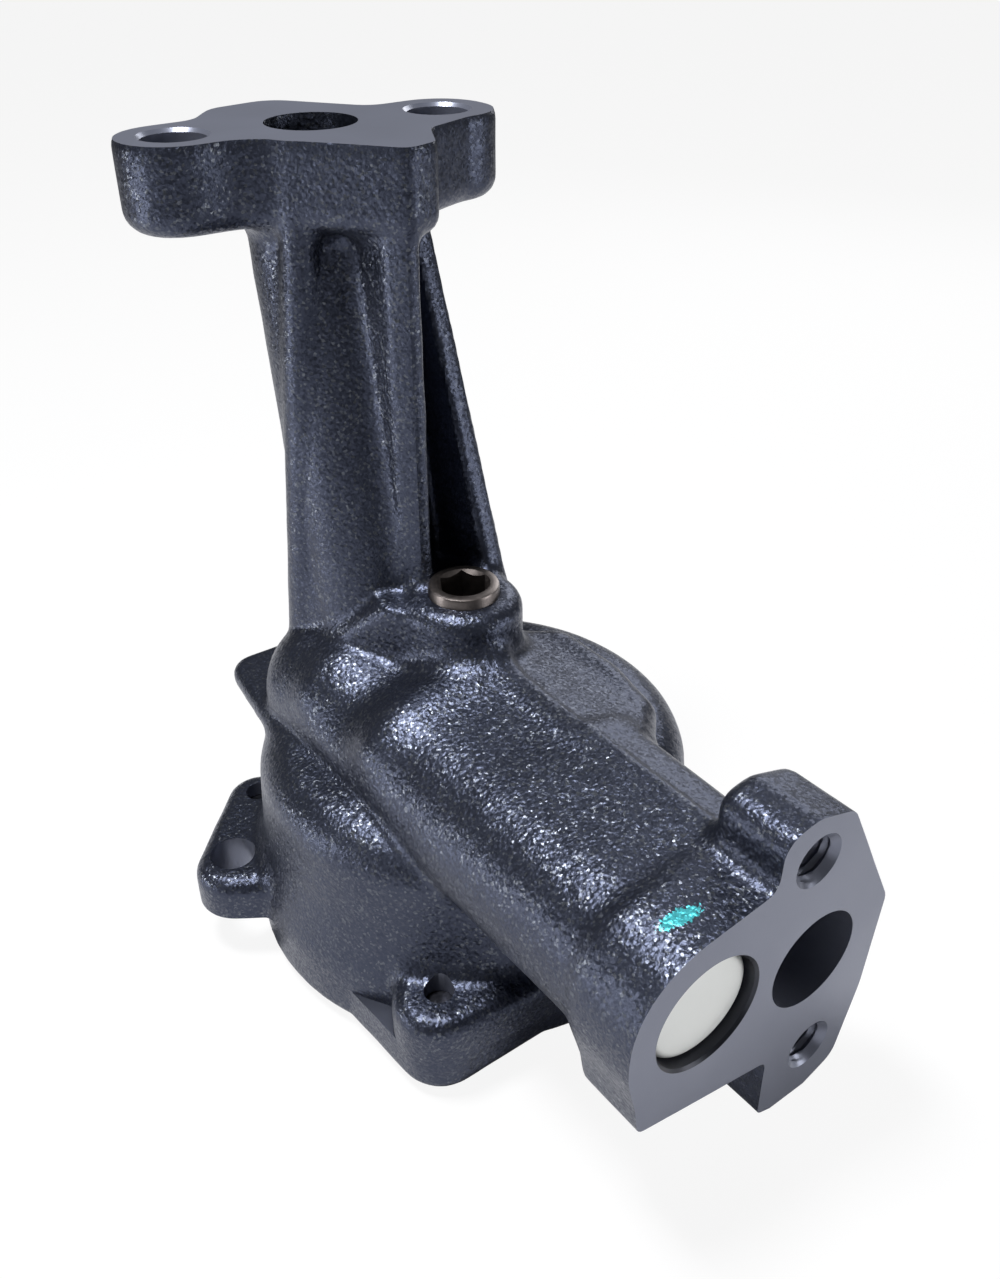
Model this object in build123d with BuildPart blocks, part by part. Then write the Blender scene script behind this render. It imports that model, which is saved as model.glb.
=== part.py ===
from build123d import *
import os
from math import atan, cos, pi, radians, sin

# Engine oil pump, gerotor type. All sizes in millimetres, +Z up.
# The origin is the centre of the outlet port on the mounting face (z = 0).
# +X runs along the inlet arm towards the pickup flange.

# ---------------------------------------------------------------- mounting flange
flange_thickness = 13.8
flange_edge_radius = 4.0
outlet_bore = 15.0
mount_hole = 10.3
mount_spacing = 44.1
mount_turn = 80.5               # bolt line, degrees from +X
mount_chamfer = 0.5
lobe_radius = 9.2
notch_y = 12.1                  # inner corner of the notch beside the rib

# ---------------------------------------------------------------- drive shaft
shaft_x = 31.3
shaft_y = 5.6
shaft_diameter = 12.65
shaft_top = -72.0
shaft_stand_out = 2.0           # above the boss
socket_flats = 7.94
socket_depth = 16.0
socket_lead_in = 9.4
shaft_clearance = 0.05          # radial, in the housing bore

# ---------------------------------------------------------------- column
column_radius = 11.9
column_foot_radius = 12.0
column_foot_x = 12.2
column_foot_y = -0.5
column_foot_level = -92.0
ridge_radius = 4.5              # ridge on the column's front left corner
ridge_top_x = 8.2
ridge_top_y = -5.7
ridge_foot_x = 3.6
ridge_foot_y = -11.0
wall_inset = 3.2                # how far the front wall is sunk at the top
foot_flare = 2.0                # how far the column's foot spreads
foot_flare_level = -82.0
rib_front_x = 25.3
rib_y_low = -1.2
rib_y_high = 3.6
rib_corner_cut = 2.2
web_turn = 9.0                  # plan angle of the rear web
web_root_y = 11.0
web_thickness = 4.5
web_top_reach = 6.8
web_foot_reach = 27.8
boss_radius = 10.4
boss_edge_radius = 3.2
flare_width = 7.5

# ---------------------------------------------------------------- pump body
joint_level = -135.0            # housing to cover
body_radius = 39.3
body_waist_radius = 40.6
body_waist_level = -126.0
body_foot_radius = 43.4
body_foot_level = -132.0
body_shoulder_radius = 8.0
body_offset_y = 1.2             # body centre behind the shaft axis
body_top = -101.5
deck_top = -86.5
deck_back_y = 27.5
deck_right_x = 66.0
deck_edge_radius = 5.0
parting_top = -82.6             # arm roof on the plane through the shaft axis

# ---------------------------------------------------------------- rotors
rotor_thickness = 22.2
rotor_end_clearance = 0.05
outer_rotor_diameter = 57.0
outer_rotor_clearance = 0.08    # radial, in the housing
outer_lobes = 5
eccentricity = 3.6
lobe_circle = 27.5              # radius on which the outer rotor's lobes sit
lobe_arc = 9.8                  # radius of each of those lobes
rotor_tip_clearance = 0.12
port_depth = 7.0
port_inner = 14.5
port_outer = 24.0
port_half_angle = 58.0

# ---------------------------------------------------------------- cover and screws
cover_radius = 41.6
cover_thickness = 6.3
screw_offset_x = 32.7
screw_offset_y = 29.8
screw_diameter = 6.35
screw_drill = 5.3
screw_clearance = 0.4
screw_reach = 6.0               # thread engaged in the housing
screw_head_flats = 9.5
screw_flange_radius = 6.4
screw_flange_thickness = 1.1
screw_head_height = 3.4
lug_radius = 8.2
lug_height = 9.0
lug_edge_radius = 3.0
lug_root_share = 0.53           # where a lug's root circle stands between shaft and screws
lug_root_radius = 10.3
lug_side_x = 26.5               # circle that spreads a lug along the body's side, from the axis
lug_side_y = 6.5
lug_side_radius = 17.0
cover_lug_radius = 8.0
cover_lug_step = 1.0            # the lugs' flanks start this far inside the rim
cover_edge = 0.8

# ---------------------------------------------------------------- brace lug and rear ear
brace_x = 12.2
brace_y = -36.9
brace_hole = 8.7
brace_lug_x = 13.2              # centre of the lug's rounded end
brace_lug_y = -36.6
brace_lug_radius = 8.1
brace_screw_radius = 6.3        # round the cover screw beside it
brace_root_radius = 13.0
ear_x = -13.5
ear_y = -21.5
ear_top = -103.0
ear_thickness = 9.0

# ---------------------------------------------------------------- inlet arm
face_x = 110.0
inlet_y = 12.9
inlet_z = -103.0
inlet_bore = 17.5
inlet_end_x = 50.0
pickup_spacing = 43.7
pickup_turn = 8.0               # bolt line, degrees from vertical
pickup_tap_drill = 6.5
pickup_chamfer_diameter = 9.1
pickup_hole_depth = 18.0
pickup_flange_depth = 13.2
pickup_edge_radius = 3.0
arm_radius = 13.2
arm_end_gap = 1.0               # the arm ends this far behind the pickup face
arm_back_x = 63.0
arm_end_radius = 3.0

# ---------------------------------------------------------------- relief valve
relief_y = -9.3
relief_z = -99.3
barrel_radius = 14.0
barrel_end_x = -3.7
barrel_end_round = 12.0
valve_bore = 12.7
valve_clearance = 0.03
seat_x = 36.0
seat_bore = 9.5
gallery_x = 11.5
relief_port_x = 47.5
relief_port_bore = 8.0
piston_length = 25.4
piston_wall = 1.6
piston_floor = 4.0
plug_diameter = 19.05
plug_sink = 1.7                 # below the pickup face
plug_depth = 6.5
plug_wall = 1.5
plug_edge_radius = 1.6
spring_wire = 1.4
spring_outer = 9.2
spring_turns = 11
spring_end_gap = 0.05

# ---------------------------------------------------------------- worked out from the above
half_spacing = mount_spacing / 2
mount_dx = half_spacing * cos(radians(mount_turn))
mount_dy = half_spacing * sin(radians(mount_turn))
mount_points = [(-mount_dx, -mount_dy), (mount_dx, mount_dy)]
boss_top = shaft_top - shaft_stand_out
body_y = shaft_y + body_offset_y
cover_bottom = joint_level - cover_thickness
rotor_roof = joint_level + rotor_thickness + 2 * rotor_end_clearance
screw_points = [
    (shaft_x + sx * screw_offset_x, shaft_y + sy * screw_offset_y)
    for sx in (-1, 1)
    for sy in (-1, 1)
]
pickup_dy = pickup_spacing / 2 * sin(radians(pickup_turn))
pickup_dz = pickup_spacing / 2 * cos(radians(pickup_turn))
pickup_bolts = [(inlet_y - pickup_dy, inlet_z + pickup_dz), (inlet_y + pickup_dy, inlet_z - pickup_dz)]
plug_face_x = face_x - plug_sink
plug_inner_x = plug_face_x - plug_depth
rotor_centre_y = shaft_y + eccentricity
outer_root = lobe_circle - lobe_arc + 2 * eccentricity + rotor_tip_clearance

YZ_FACE = Plane(origin=(0, 0, 0), x_dir=(0, 1, 0), z_dir=(1, 0, 0))


def flange_corners():
    """Corners and corner radii of the mounting flange, anticlockwise from the left lobe."""
    left_x, left_y = mount_points[0]
    right_x, right_y = mount_points[1]
    round_tip = lobe_radius - 0.1
    corners = [
        ((left_x - lobe_radius, left_y - lobe_radius), round_tip),
        ((left_x + lobe_radius, left_y - lobe_radius), round_tip),
        ((left_x + lobe_radius, left_y + 7.4), 9.0),
        ((rib_front_x + 1.5, rib_y_low + 2.5), 2.5),
        ((rib_front_x - 0.2, rib_y_high + 3.6), 3.0),
        ((16.4, notch_y), 3.0),
        ((right_x + lobe_radius, right_y), 6.0),
        ((right_x + lobe_radius, right_y + lobe_radius), round_tip - 1.0),
        ((right_x - lobe_radius, right_y + lobe_radius), round_tip),
        ((right_x - lobe_radius, 14.5), 5.0),
        ((-21.5, 3.8), 6.0),
        ((-20.0, -8.0), 6.0),
        ((left_x - lobe_radius, -14.5), 5.0),
    ]
    return [point for point, _ in corners], [radius for _, radius in corners]


def pickup_corners():
    """Corners and corner radii of the pickup flange in (y, z), anticlockwise from the lower tip."""
    corners = [
        ((5.9, -133.3), 0.6),
        ((13.0, -135.8), 8.0),
        ((22.9, -132.0), 4.0),
        ((26.0, -116.5), 18.0),
        ((28.6, -99.2), 3.0),
        ((16.3, -75.4), 3.5),
        ((8.6, -73.0), 5.0),
        ((2.0, -74.2), 4.0),
        ((1.9, parting_top - 1.0), 2.2),
        ((relief_y - barrel_radius + 0.4, relief_z + barrel_radius - 0.4), barrel_radius - 1.0),
        ((relief_y - barrel_radius + 0.4, -103.5), 12.0),
        ((-21.2, -115.3), 1.8),
        ((5.6, -120.6), 1.5),
    ]
    return [point for point, _ in corners], [radius for _, radius in corners]


def inner_rotor_points(count):
    """Cycloidal profile of the inner rotor that rolls inside the outer rotor's lobes."""
    arc = lobe_arc + rotor_tip_clearance
    points = []
    for step in range(count):
        t = 2 * pi * step / count
        side = lobe_circle / (eccentricity * outer_lobes) - cos((1 - outer_lobes) * t)
        lean = atan(sin((1 - outer_lobes) * t) / side)
        x = lobe_circle * cos(t) - arc * cos(t + lean) - eccentricity * cos(outer_lobes * t)
        y = -lobe_circle * sin(t) + arc * sin(t + lean) + eccentricity * sin(outer_lobes * t)
        points.append((y, -x))
    return points


# ================================================================ features of the housing casting
with BuildPart() as flange_block:
    flange_points, flange_radii = flange_corners()
    with BuildSketch(Plane.XY.offset(-flange_thickness)) as flange_sketch:
        with BuildLine():
            FilletPolyline(*flange_points, radius=flange_radii, close=True)
        make_face()
    extrude(amount=flange_thickness)
    fillet(faces().sort_by(Axis.Z)[0].edges(), flange_edge_radius)

with BuildPart() as column_tube:
    with BuildSketch(Plane.XY.offset(-flange_thickness / 2)) as tube_top:
        Circle(column_radius)
    with BuildSketch(Plane((column_foot_x, column_foot_y, column_foot_level))) as tube_foot:
        Circle(column_foot_radius)
    loft()

with BuildPart() as column_ridge:
    with BuildSketch(Plane((ridge_top_x, ridge_top_y, -flange_thickness / 2))) as ridge_top:
        Circle(ridge_radius)
    with BuildSketch(Plane((ridge_foot_x, ridge_foot_y, column_foot_level))) as ridge_foot:
        Circle(ridge_radius)
    loft()

# the front wall between tube and ridge: sunk at the top, flush with both at the foot
with BuildPart() as column_wall:
    with BuildSketch(Plane.XY.offset(-flange_thickness / 2)) as wall_top:
        Circle(column_radius - wall_inset)
        with Locations((ridge_top_x, ridge_top_y)):
            Circle(ridge_radius - wall_inset / 2)
        make_hull()
    with BuildSketch(Plane.XY.offset(column_foot_level)) as wall_foot:
        with Locations((column_foot_x, column_foot_y)):
            Circle(column_foot_radius)
        with Locations((ridge_foot_x, ridge_foot_y)):
            Circle(ridge_radius)
        make_hull()
    loft(ruled=True)

with BuildPart() as column_flare:
    with BuildSketch(Plane.XY.offset(foot_flare_level)) as flare_top:
        with Locations((column_foot_x, column_foot_y)):
            Circle(column_foot_radius - 1)
        with Locations((ridge_foot_x, ridge_foot_y)):
            Circle(ridge_radius - 1)
        make_hull()
    with BuildSketch(Plane.XY.offset(column_foot_level)) as flare_foot:
        with Locations((column_foot_x, column_foot_y)):
            Circle(column_foot_radius + foot_flare)
        with Locations((ridge_foot_x, ridge_foot_y)):
            Circle(ridge_radius + foot_flare)
        make_hull()
    loft(ruled=True)

with BuildPart() as front_rib:
    with BuildSketch(Plane.XY.offset(-flange_thickness / 2)) as rib_sketch:
        with BuildLine():
            FilletPolyline(
                (column_foot_x, rib_y_low),
                (rib_front_x - rib_corner_cut * 1.5, rib_y_low),
                (rib_front_x, rib_y_low + rib_corner_cut),
                (rib_front_x, rib_y_high),
                (column_foot_x, rib_y_high),
                radius=[0, 1.5, 1.2, 1.5, 0],
                close=True,
            )
        make_face()
    extrude(amount=column_foot_level + flange_thickness / 2 + 4)

with BuildPart() as rear_web:
    web_plane = Plane(
        origin=(0, web_root_y, 0),
        x_dir=(cos(radians(web_turn)), sin(radians(web_turn)), 0),
        z_dir=(sin(radians(web_turn)), -cos(radians(web_turn)), 0),
    )
    with BuildSketch(web_plane) as web_sketch:
        with BuildLine():
            Polyline(
                (0, -flange_thickness / 2),
                (web_top_reach, -flange_thickness / 2),
                (web_foot_reach, boss_top - 3),
                (web_foot_reach, deck_top - 4),
                (column_foot_x - 4, deck_top - 4),
                close=True,
            )
        make_face()
    extrude(amount=web_thickness / 2, both=True)

with BuildPart() as shaft_boss:
    with BuildSketch(Plane((shaft_x, shaft_y, boss_top))) as boss_sketch:
        Circle(boss_radius)
    extrude(amount=body_top - boss_top)
    fillet(edges().filter_by(GeomType.CIRCLE).sort_by(Axis.Z)[-1], boss_edge_radius)

with BuildPart() as boss_flare:
    flare_plane = Plane((shaft_x, shaft_y, 0), x_dir=(1, 0, 0), z_dir=(0, -1, 0))
    with BuildSketch(flare_plane) as flare_sketch:
        with BuildLine():
            flare_arc = ThreePointArc(
                (boss_radius - 0.1, boss_top - 4.0),
                (boss_radius + 2.4, parting_top + 1.2),
                (boss_radius + flare_width, parting_top - 1.0),
            )
            Polyline(
                flare_arc @ 1,
                (boss_radius + flare_width, parting_top - 8),
                (boss_radius - 3, parting_top - 8),
                (boss_radius - 3, boss_top - 4.0),
                flare_arc @ 0,
            )
        make_face()
    revolve(axis=Axis((shaft_x, shaft_y, 0), (0, 0, 1)), revolution_arc=-180)

with BuildPart() as pump_body:
    body_plane = Plane((shaft_x, body_y, 0), x_dir=(1, 0, 0), z_dir=(0, -1, 0))
    with BuildSketch(body_plane) as body_sketch:
        with BuildLine():
            FilletPolyline(
                (0, body_top),
                (body_radius, body_top),
                (body_waist_radius, body_waist_level),
                (body_foot_radius, body_foot_level),
                (body_foot_radius, joint_level),
                (0, joint_level),
                radius=[body_shoulder_radius, 0, 0, 0],
            )
            Line((0, joint_level), (0, body_top))
        make_face()
    revolve(axis=Axis((shaft_x, body_y, 0), (0, 0, 1)))

with BuildPart() as inlet_deck:
    with BuildSketch(Plane.XY.offset(body_top - 6)) as deck_sketch:
        with BuildLine():
            FilletPolyline(
                (16.0, 0.0),
                (16.0, 20.0),
                (27.0, deck_back_y),
                (deck_right_x - 3, deck_back_y),
                (deck_right_x + 4, 18.0),
                (deck_right_x + 4, 0.0),
                radius=[0, 8.0, 8.0, 9.0, 6.0, 0],
                close=True,
            )
        make_face()
    extrude(amount=deck_top - body_top + 6)
    fillet(edges().filter_by_position(Axis.Z, deck_top - 0.1, deck_top + 0.1), deck_edge_radius)

with BuildPart() as relief_barrel:
    barrel_plane = Plane((0, relief_y, relief_z), x_dir=(1, 0, 0), z_dir=(0, -1, 0))
    with BuildSketch(barrel_plane) as barrel_sketch:
        with BuildLine():
            FilletPolyline(
                (barrel_end_x, 0),
                (barrel_end_x, barrel_radius),
                (column_foot_x, barrel_radius),
                (column_foot_x, 0),
                radius=[barrel_end_round, 0],
            )
            Line((column_foot_x, 0), (barrel_end_x, 0))
        make_face()
    revolve(axis=Axis((0, relief_y, relief_z), (1, 0, 0)))

# the barrel again, with the roof that rises from it to the parting plane
with BuildPart() as arm_front:
    with BuildSketch(YZ_FACE.offset(column_foot_x)) as arm_front_sketch:
        with Locations((relief_y, relief_z)):
            Circle(barrel_radius)
        with Locations((shaft_y - 0.5, (parting_top + inlet_z - arm_radius + 1) / 2)):
            Rectangle(1.0, parting_top - inlet_z + arm_radius - 1)
        make_hull()
    extrude(amount=face_x - arm_end_gap - column_foot_x)

# the arm's back half, round the inlet passage
with BuildPart() as arm_back:
    with BuildSketch(YZ_FACE.offset(arm_back_x)) as arm_back_sketch:
        with BuildLine():
            FilletPolyline(
                (shaft_y - 1, parting_top),
                (shaft_y, parting_top),
                (14.0, parting_top - 1.6),
                (inlet_y + arm_radius, inlet_z + 4),
                (inlet_y + arm_radius - 1, inlet_z - arm_radius + 0.5),
                (shaft_y - 1, inlet_z - arm_radius + 0.5),
                radius=[0, 5.0, 9.0, 10.0],
                close=False,
            )
            Line((shaft_y - 1, inlet_z - arm_radius + 0.5), (shaft_y - 1, parting_top))
        make_face()
    extrude(amount=face_x - pickup_flange_depth + pickup_edge_radius + 1 - arm_back_x)
    fillet(
        faces().sort_by(Axis.X)[0].edges().filter_by_position(Axis.Z, inlet_z, parting_top)
        .filter_by_position(Axis.Y, shaft_y + 1, inlet_y + arm_radius + 1),
        arm_end_radius,
    )

with BuildPart() as pickup_flange:
    pickup_points, pickup_radii = pickup_corners()
    with BuildSketch(YZ_FACE.offset(face_x - pickup_flange_depth)) as pickup_sketch:
        with BuildLine():
            FilletPolyline(*pickup_points, radius=pickup_radii, close=True)
        make_face()
    extrude(amount=pickup_flange_depth)
    fillet(faces().sort_by(Axis.X)[0].edges(), pickup_edge_radius)


def lug_block(circles, level, height):
    """A block with the hull of some circles as its plan; each circle is (x, y, radius)."""
    with BuildPart() as block:
        with BuildSketch(Plane.XY.offset(level)):
            for x, y, radius in circles:
                with Locations((x, y)):
                    Circle(radius)
            make_hull()
        extrude(amount=height)
    return block.part


def housing_lug(point):
    """The housing's lug round one cover screw, spreading along the side of the round body."""
    x, y = point
    root_x = shaft_x + (x - shaft_x) * lug_root_share
    root_y = body_y + (y - body_y) * lug_root_share
    side_x = shaft_x + (lug_side_x if x > shaft_x else -lug_side_x)
    side_y = body_y + (lug_side_y if y > body_y else -lug_side_y)
    circles = [(x, y, lug_radius), (root_x, root_y, lug_root_radius), (side_x, side_y, lug_side_radius)]
    return lug_block(circles, joint_level, lug_height)


housing_lugs = [housing_lug(point) for point in screw_points[1:]]
cover_lugs = [
    lug_block(
        [(x, y, cover_lug_radius), (shaft_x, body_y, cover_radius - cover_lug_step)],
        cover_bottom,
        cover_thickness,
    )
    for x, y in screw_points
]
brace_lug = lug_block(
    [
        (*screw_points[0], brace_screw_radius),
        (brace_lug_x, brace_lug_y, brace_lug_radius),
        ((shaft_x + brace_x) / 2, (shaft_y + brace_y) / 2, brace_root_radius),
    ],
    joint_level,
    lug_height,
)

with BuildPart() as rear_ear:
    with BuildSketch(Plane.XY.offset(ear_top - ear_thickness)) as ear_sketch:
        with BuildLine():
            FilletPolyline(
                (ear_x, ear_y),
                (22.0, -26.5),
                (22.0, 8.0),
                (-2.0, 8.0),
                (ear_x, -4.0),
                radius=[5.0, 0, 0, 6.0, 5.0],
                close=True,
            )
        make_face()
    extrude(amount=ear_thickness)

with BuildPart() as lugs:
    add(housing_lugs)
    add(brace_lug)
    fillet(faces().filter_by(Axis.Z).group_by(Axis.Z)[-1].edges(), lug_edge_radius)

# ================================================================ pump housing
with BuildPart() as pump_housing:
    add(flange_block.part)
    add(column_tube.part)
    add(column_ridge.part)
    add(column_wall.part)
    add(column_flare.part)
    add(front_rib.part)
    add(rear_web.part)
    add(shaft_boss.part)
    add(boss_flare.part)
    add(pump_body.part)
    add(inlet_deck.part)
    add(relief_barrel.part)
    add(arm_front.part)
    add(arm_back.part)
    add(pickup_flange.part)
    add(rear_ear.part)
    add(lugs.part)

    # outlet passage and discharge gallery
    with BuildSketch(Plane.XY) as outlet_mouth:
        Circle(outlet_bore / 2)
    extrude(amount=-flange_thickness, mode=Mode.SUBTRACT)
    with BuildSketch(Plane.XY.offset(-flange_thickness)) as passage_top:
        Circle(outlet_bore / 2)
    with BuildSketch(Plane((gallery_x, column_foot_y, relief_z))) as passage_foot:
        Circle(outlet_bore / 2)
    loft(mode=Mode.SUBTRACT)
    with BuildSketch(Plane.XY.offset(rotor_roof)) as gallery_sketch:
        with Locations((gallery_x, (column_foot_y + shaft_y) / 2)):
            SlotCenterToCenter(shaft_y - column_foot_y, outlet_bore - 2, rotation=90)
    extrude(amount=relief_z + 4 - rotor_roof, mode=Mode.SUBTRACT)

    # rotor chamber, its two kidney ports and the shaft bore
    with BuildSketch(Plane((shaft_x, rotor_centre_y, joint_level))) as chamber_sketch:
        Circle(outer_rotor_diameter / 2 + outer_rotor_clearance)
    extrude(amount=rotor_roof - joint_level, mode=Mode.SUBTRACT)
    with BuildSketch(Plane((shaft_x, shaft_y, rotor_roof))) as port_sketch:
        for facing in (0, 180):
            with BuildLine():
                outer_arc = CenterArc((0, 0), port_outer, facing - port_half_angle, 2 * port_half_angle)
                inner_arc = CenterArc((0, 0), port_inner, facing - port_half_angle, 2 * port_half_angle)
                Line(outer_arc @ 0, inner_arc @ 0)
                Line(outer_arc @ 1, inner_arc @ 1)
            make_face()
    extrude(amount=port_depth, mode=Mode.SUBTRACT)
    with BuildSketch(Plane((shaft_x, shaft_y, shaft_top))) as shaft_bore:
        Circle(shaft_diameter / 2 + shaft_clearance)
    extrude(amount=rotor_roof - shaft_top, mode=Mode.SUBTRACT)

    # inlet passage with a drilled end
    inlet_plane = Plane((0, inlet_y, inlet_z), x_dir=(1, 0, 0), z_dir=(0, -1, 0))
    with BuildSketch(inlet_plane) as inlet_sketch:
        with BuildLine():
            Polyline(
                (face_x, 0),
                (face_x, inlet_bore / 2),
                (inlet_end_x, inlet_bore / 2),
                (inlet_end_x - inlet_bore / 4, 0),
                close=True,
            )
        make_face()
    revolve(axis=Axis((0, inlet_y, inlet_z), (1, 0, 0)), mode=Mode.SUBTRACT)

    # relief valve bore, its seat, plug recess and spill port
    valve_plane = Plane((0, relief_y, relief_z), x_dir=(1, 0, 0), z_dir=(0, -1, 0))
    with BuildSketch(valve_plane) as valve_sketch:
        with BuildLine():
            Polyline(
                (face_x, 0),
                (face_x, plug_diameter / 2),
                (plug_inner_x, plug_diameter / 2),
                (plug_inner_x, valve_bore / 2),
                (seat_x, valve_bore / 2),
                (seat_x, seat_bore / 2),
                (gallery_x, seat_bore / 2),
                (gallery_x, 0),
                close=True,
            )
        make_face()
    revolve(axis=Axis((0, relief_y, relief_z), (1, 0, 0)), mode=Mode.SUBTRACT)
    with BuildSketch(Plane((relief_port_x, relief_y, relief_z), x_dir=(1, 0, 0), z_dir=(0, 1, 0))):
        Circle(relief_port_bore / 2)
    extrude(amount=inlet_y - relief_y, mode=Mode.SUBTRACT)

    # bolt holes
    with Locations(*[Location((x, y, 0)) for x, y in mount_points]):
        CounterSinkHole(mount_hole / 2, mount_hole / 2 + mount_chamfer, depth=flange_thickness + 1)
    with Locations(*[Location((x, y, joint_level + lug_height)) for x, y in screw_points]):
        Hole(screw_drill / 2, depth=lug_height)
    with BuildSketch(Plane.XY.offset(joint_level)) as thread_sketch:
        with Locations(*screw_points):
            Circle(screw_diameter / 2 + 0.02)
    extrude(amount=screw_reach, mode=Mode.SUBTRACT)
    with Locations(Location((brace_x, brace_y, joint_level + lug_height))):
        Hole(brace_hole / 2, depth=lug_height)
    for y, z in pickup_bolts:
        with Locations(Plane(origin=(face_x, y, z), x_dir=(0, 1, 0), z_dir=(1, 0, 0))):
            CounterSinkHole(pickup_tap_drill / 2, pickup_chamfer_diameter / 2, depth=pickup_hole_depth)

# ================================================================ cover plate
with BuildPart() as cover_plate:
    with BuildSketch(Plane((shaft_x, body_y, cover_bottom))) as cover_sketch:
        Circle(cover_radius)
    extrude(amount=cover_thickness)
    add(cover_lugs)
    chamfer(faces().sort_by(Axis.Z)[0].edges(), cover_edge)
    with BuildSketch(Plane.XY.offset(cover_bottom)) as cover_holes:
        with Locations(*screw_points):
            Circle((screw_diameter + screw_clearance) / 2)
    extrude(amount=cover_thickness, mode=Mode.SUBTRACT)

# ================================================================ cover screws, flanged hex heads below
with BuildPart() as cover_screws:
    with BuildSketch(Plane.XY.offset(cover_bottom)) as screw_flanges:
        with Locations(*screw_points):
            Circle(screw_flange_radius)
    extrude(amount=-screw_flange_thickness)
    with BuildSketch(Plane.XY.offset(cover_bottom - screw_flange_thickness)) as screw_heads:
        with Locations(*screw_points):
            RegularPolygon(screw_head_flats / 2, 6, major_radius=False)
    extrude(amount=screw_flange_thickness - screw_head_height)
    chamfer(faces().sort_by(Axis.Z)[:4].edges(), 0.5)
    with BuildSketch(Plane.XY.offset(cover_bottom)) as screw_shanks:
        with Locations(*screw_points):
            Circle(screw_diameter / 2)
    extrude(amount=cover_thickness + screw_reach - 0.5)

# ================================================================ rotors
with BuildPart() as inner_rotor:
    with BuildSketch(Plane((shaft_x, shaft_y, joint_level + rotor_end_clearance))) as inner_sketch:
        with BuildLine():
            Spline(*inner_rotor_points(96), periodic=True)
        make_face()
        Circle(shaft_diameter / 2, mode=Mode.SUBTRACT)
    extrude(amount=rotor_thickness)

with BuildPart() as outer_rotor:
    outer_plane = Plane((shaft_x, rotor_centre_y, joint_level + rotor_end_clearance))
    with BuildSketch(outer_plane) as outer_sketch:
        Circle(outer_rotor_diameter / 2)
        with BuildSketch(mode=Mode.SUBTRACT):
            Circle(outer_root)
            with PolarLocations(lobe_circle, outer_lobes, start_angle=-90):
                Circle(lobe_arc, mode=Mode.SUBTRACT)
    extrude(amount=rotor_thickness)

# ================================================================ drive shaft with a hex socket
with BuildPart() as drive_shaft:
    with BuildSketch(Plane((shaft_x, shaft_y, joint_level + rotor_end_clearance))) as shaft_sketch:
        Circle(shaft_diameter / 2)
    extrude(amount=shaft_top - joint_level - rotor_end_clearance)
    chamfer(edges().filter_by(GeomType.CIRCLE), 0.6)
    with BuildSketch(Plane((shaft_x, shaft_y, shaft_top))) as socket_sketch:
        RegularPolygon(socket_flats / 2, 6, major_radius=False)
    extrude(amount=-socket_depth, mode=Mode.SUBTRACT)
    with Locations(Location((shaft_x, shaft_y, shaft_top))):
        Cone(
            socket_flats / 2 - 0.2,
            socket_lead_in / 2,
            (socket_lead_in - socket_flats) / 2 + 0.2,
            align=(Align.CENTER, Align.CENTER, Align.MAX),
            mode=Mode.SUBTRACT,
        )

# ================================================================ relief valve parts
with BuildPart() as relief_piston:
    with BuildSketch(valve_plane) as piston_sketch:
        with BuildLine():
            Polyline(
                (seat_x, 0),
                (seat_x, valve_bore / 2 - valve_clearance - 0.5),
                (seat_x + 0.5, valve_bore / 2 - valve_clearance),
                (seat_x + piston_length, valve_bore / 2 - valve_clearance),
                (seat_x + piston_length, valve_bore / 2 - valve_clearance - piston_wall),
                (seat_x + piston_floor, valve_bore / 2 - valve_clearance - piston_wall),
                (seat_x + piston_floor, 0),
                close=True,
            )
        make_face()
    revolve(axis=Axis((0, relief_y, relief_z), (1, 0, 0)))

with BuildPart() as relief_plug:
    with BuildSketch(valve_plane) as plug_sketch:
        with BuildLine():
            FilletPolyline(
                (plug_face_x, 0),
                (plug_face_x, plug_diameter / 2),
                (plug_inner_x, plug_diameter / 2),
                (plug_inner_x, plug_diameter / 2 - plug_wall),
                (plug_face_x - plug_wall, plug_diameter / 2 - plug_wall),
                (plug_face_x - plug_wall, 0),
                radius=[plug_edge_radius, 0, 0, 0],
            )
            Line((plug_face_x - plug_wall, 0), (plug_face_x, 0))
        make_face()
    revolve(axis=Axis((0, relief_y, relief_z), (1, 0, 0)))

spring_start = seat_x + piston_floor + spring_end_gap + spring_wire / 2
spring_end = plug_face_x - plug_wall - spring_end_gap - spring_wire / 2
spring_radius = (spring_outer - spring_wire) / 2
with BuildPart() as relief_spring:
    with BuildLine() as spring_path:
        Helix(
            pitch=(spring_end - spring_start) / spring_turns,
            height=spring_end - spring_start,
            radius=spring_radius,
            center=(spring_start, relief_y, relief_z),
            direction=(1, 0, 0),
        )
    with BuildSketch(Plane(spring_path.wire() @ 0, z_dir=spring_path.wire() % 0)) as wire_section:
        Circle(spring_wire / 2)
    sweep(is_frenet=True)

# ================================================================ export
os.makedirs("parts", exist_ok=True)

pump_housing.part.label = "pump_housing"
export_step(pump_housing.part, "parts/pump_housing.step")

cover_plate.part.label = "cover_plate"
export_step(cover_plate.part, "parts/cover_plate.step")

cover_screws.part.label = "cover_screws"
export_step(cover_screws.part, "parts/cover_screws.step")

drive_shaft.part.label = "drive_shaft"
export_step(drive_shaft.part, "parts/drive_shaft.step")

inner_rotor.part.label = "inner_rotor"
export_step(inner_rotor.part, "parts/inner_rotor.step")

outer_rotor.part.label = "outer_rotor"
export_step(outer_rotor.part, "parts/outer_rotor.step")

relief_piston.part.label = "relief_piston"
export_step(relief_piston.part, "parts/relief_piston.step")

relief_spring.part.label = "relief_spring"
export_step(relief_spring.part, "parts/relief_spring.step")

relief_plug.part.label = "relief_plug"
export_step(relief_plug.part, "parts/relief_plug.step")
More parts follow.
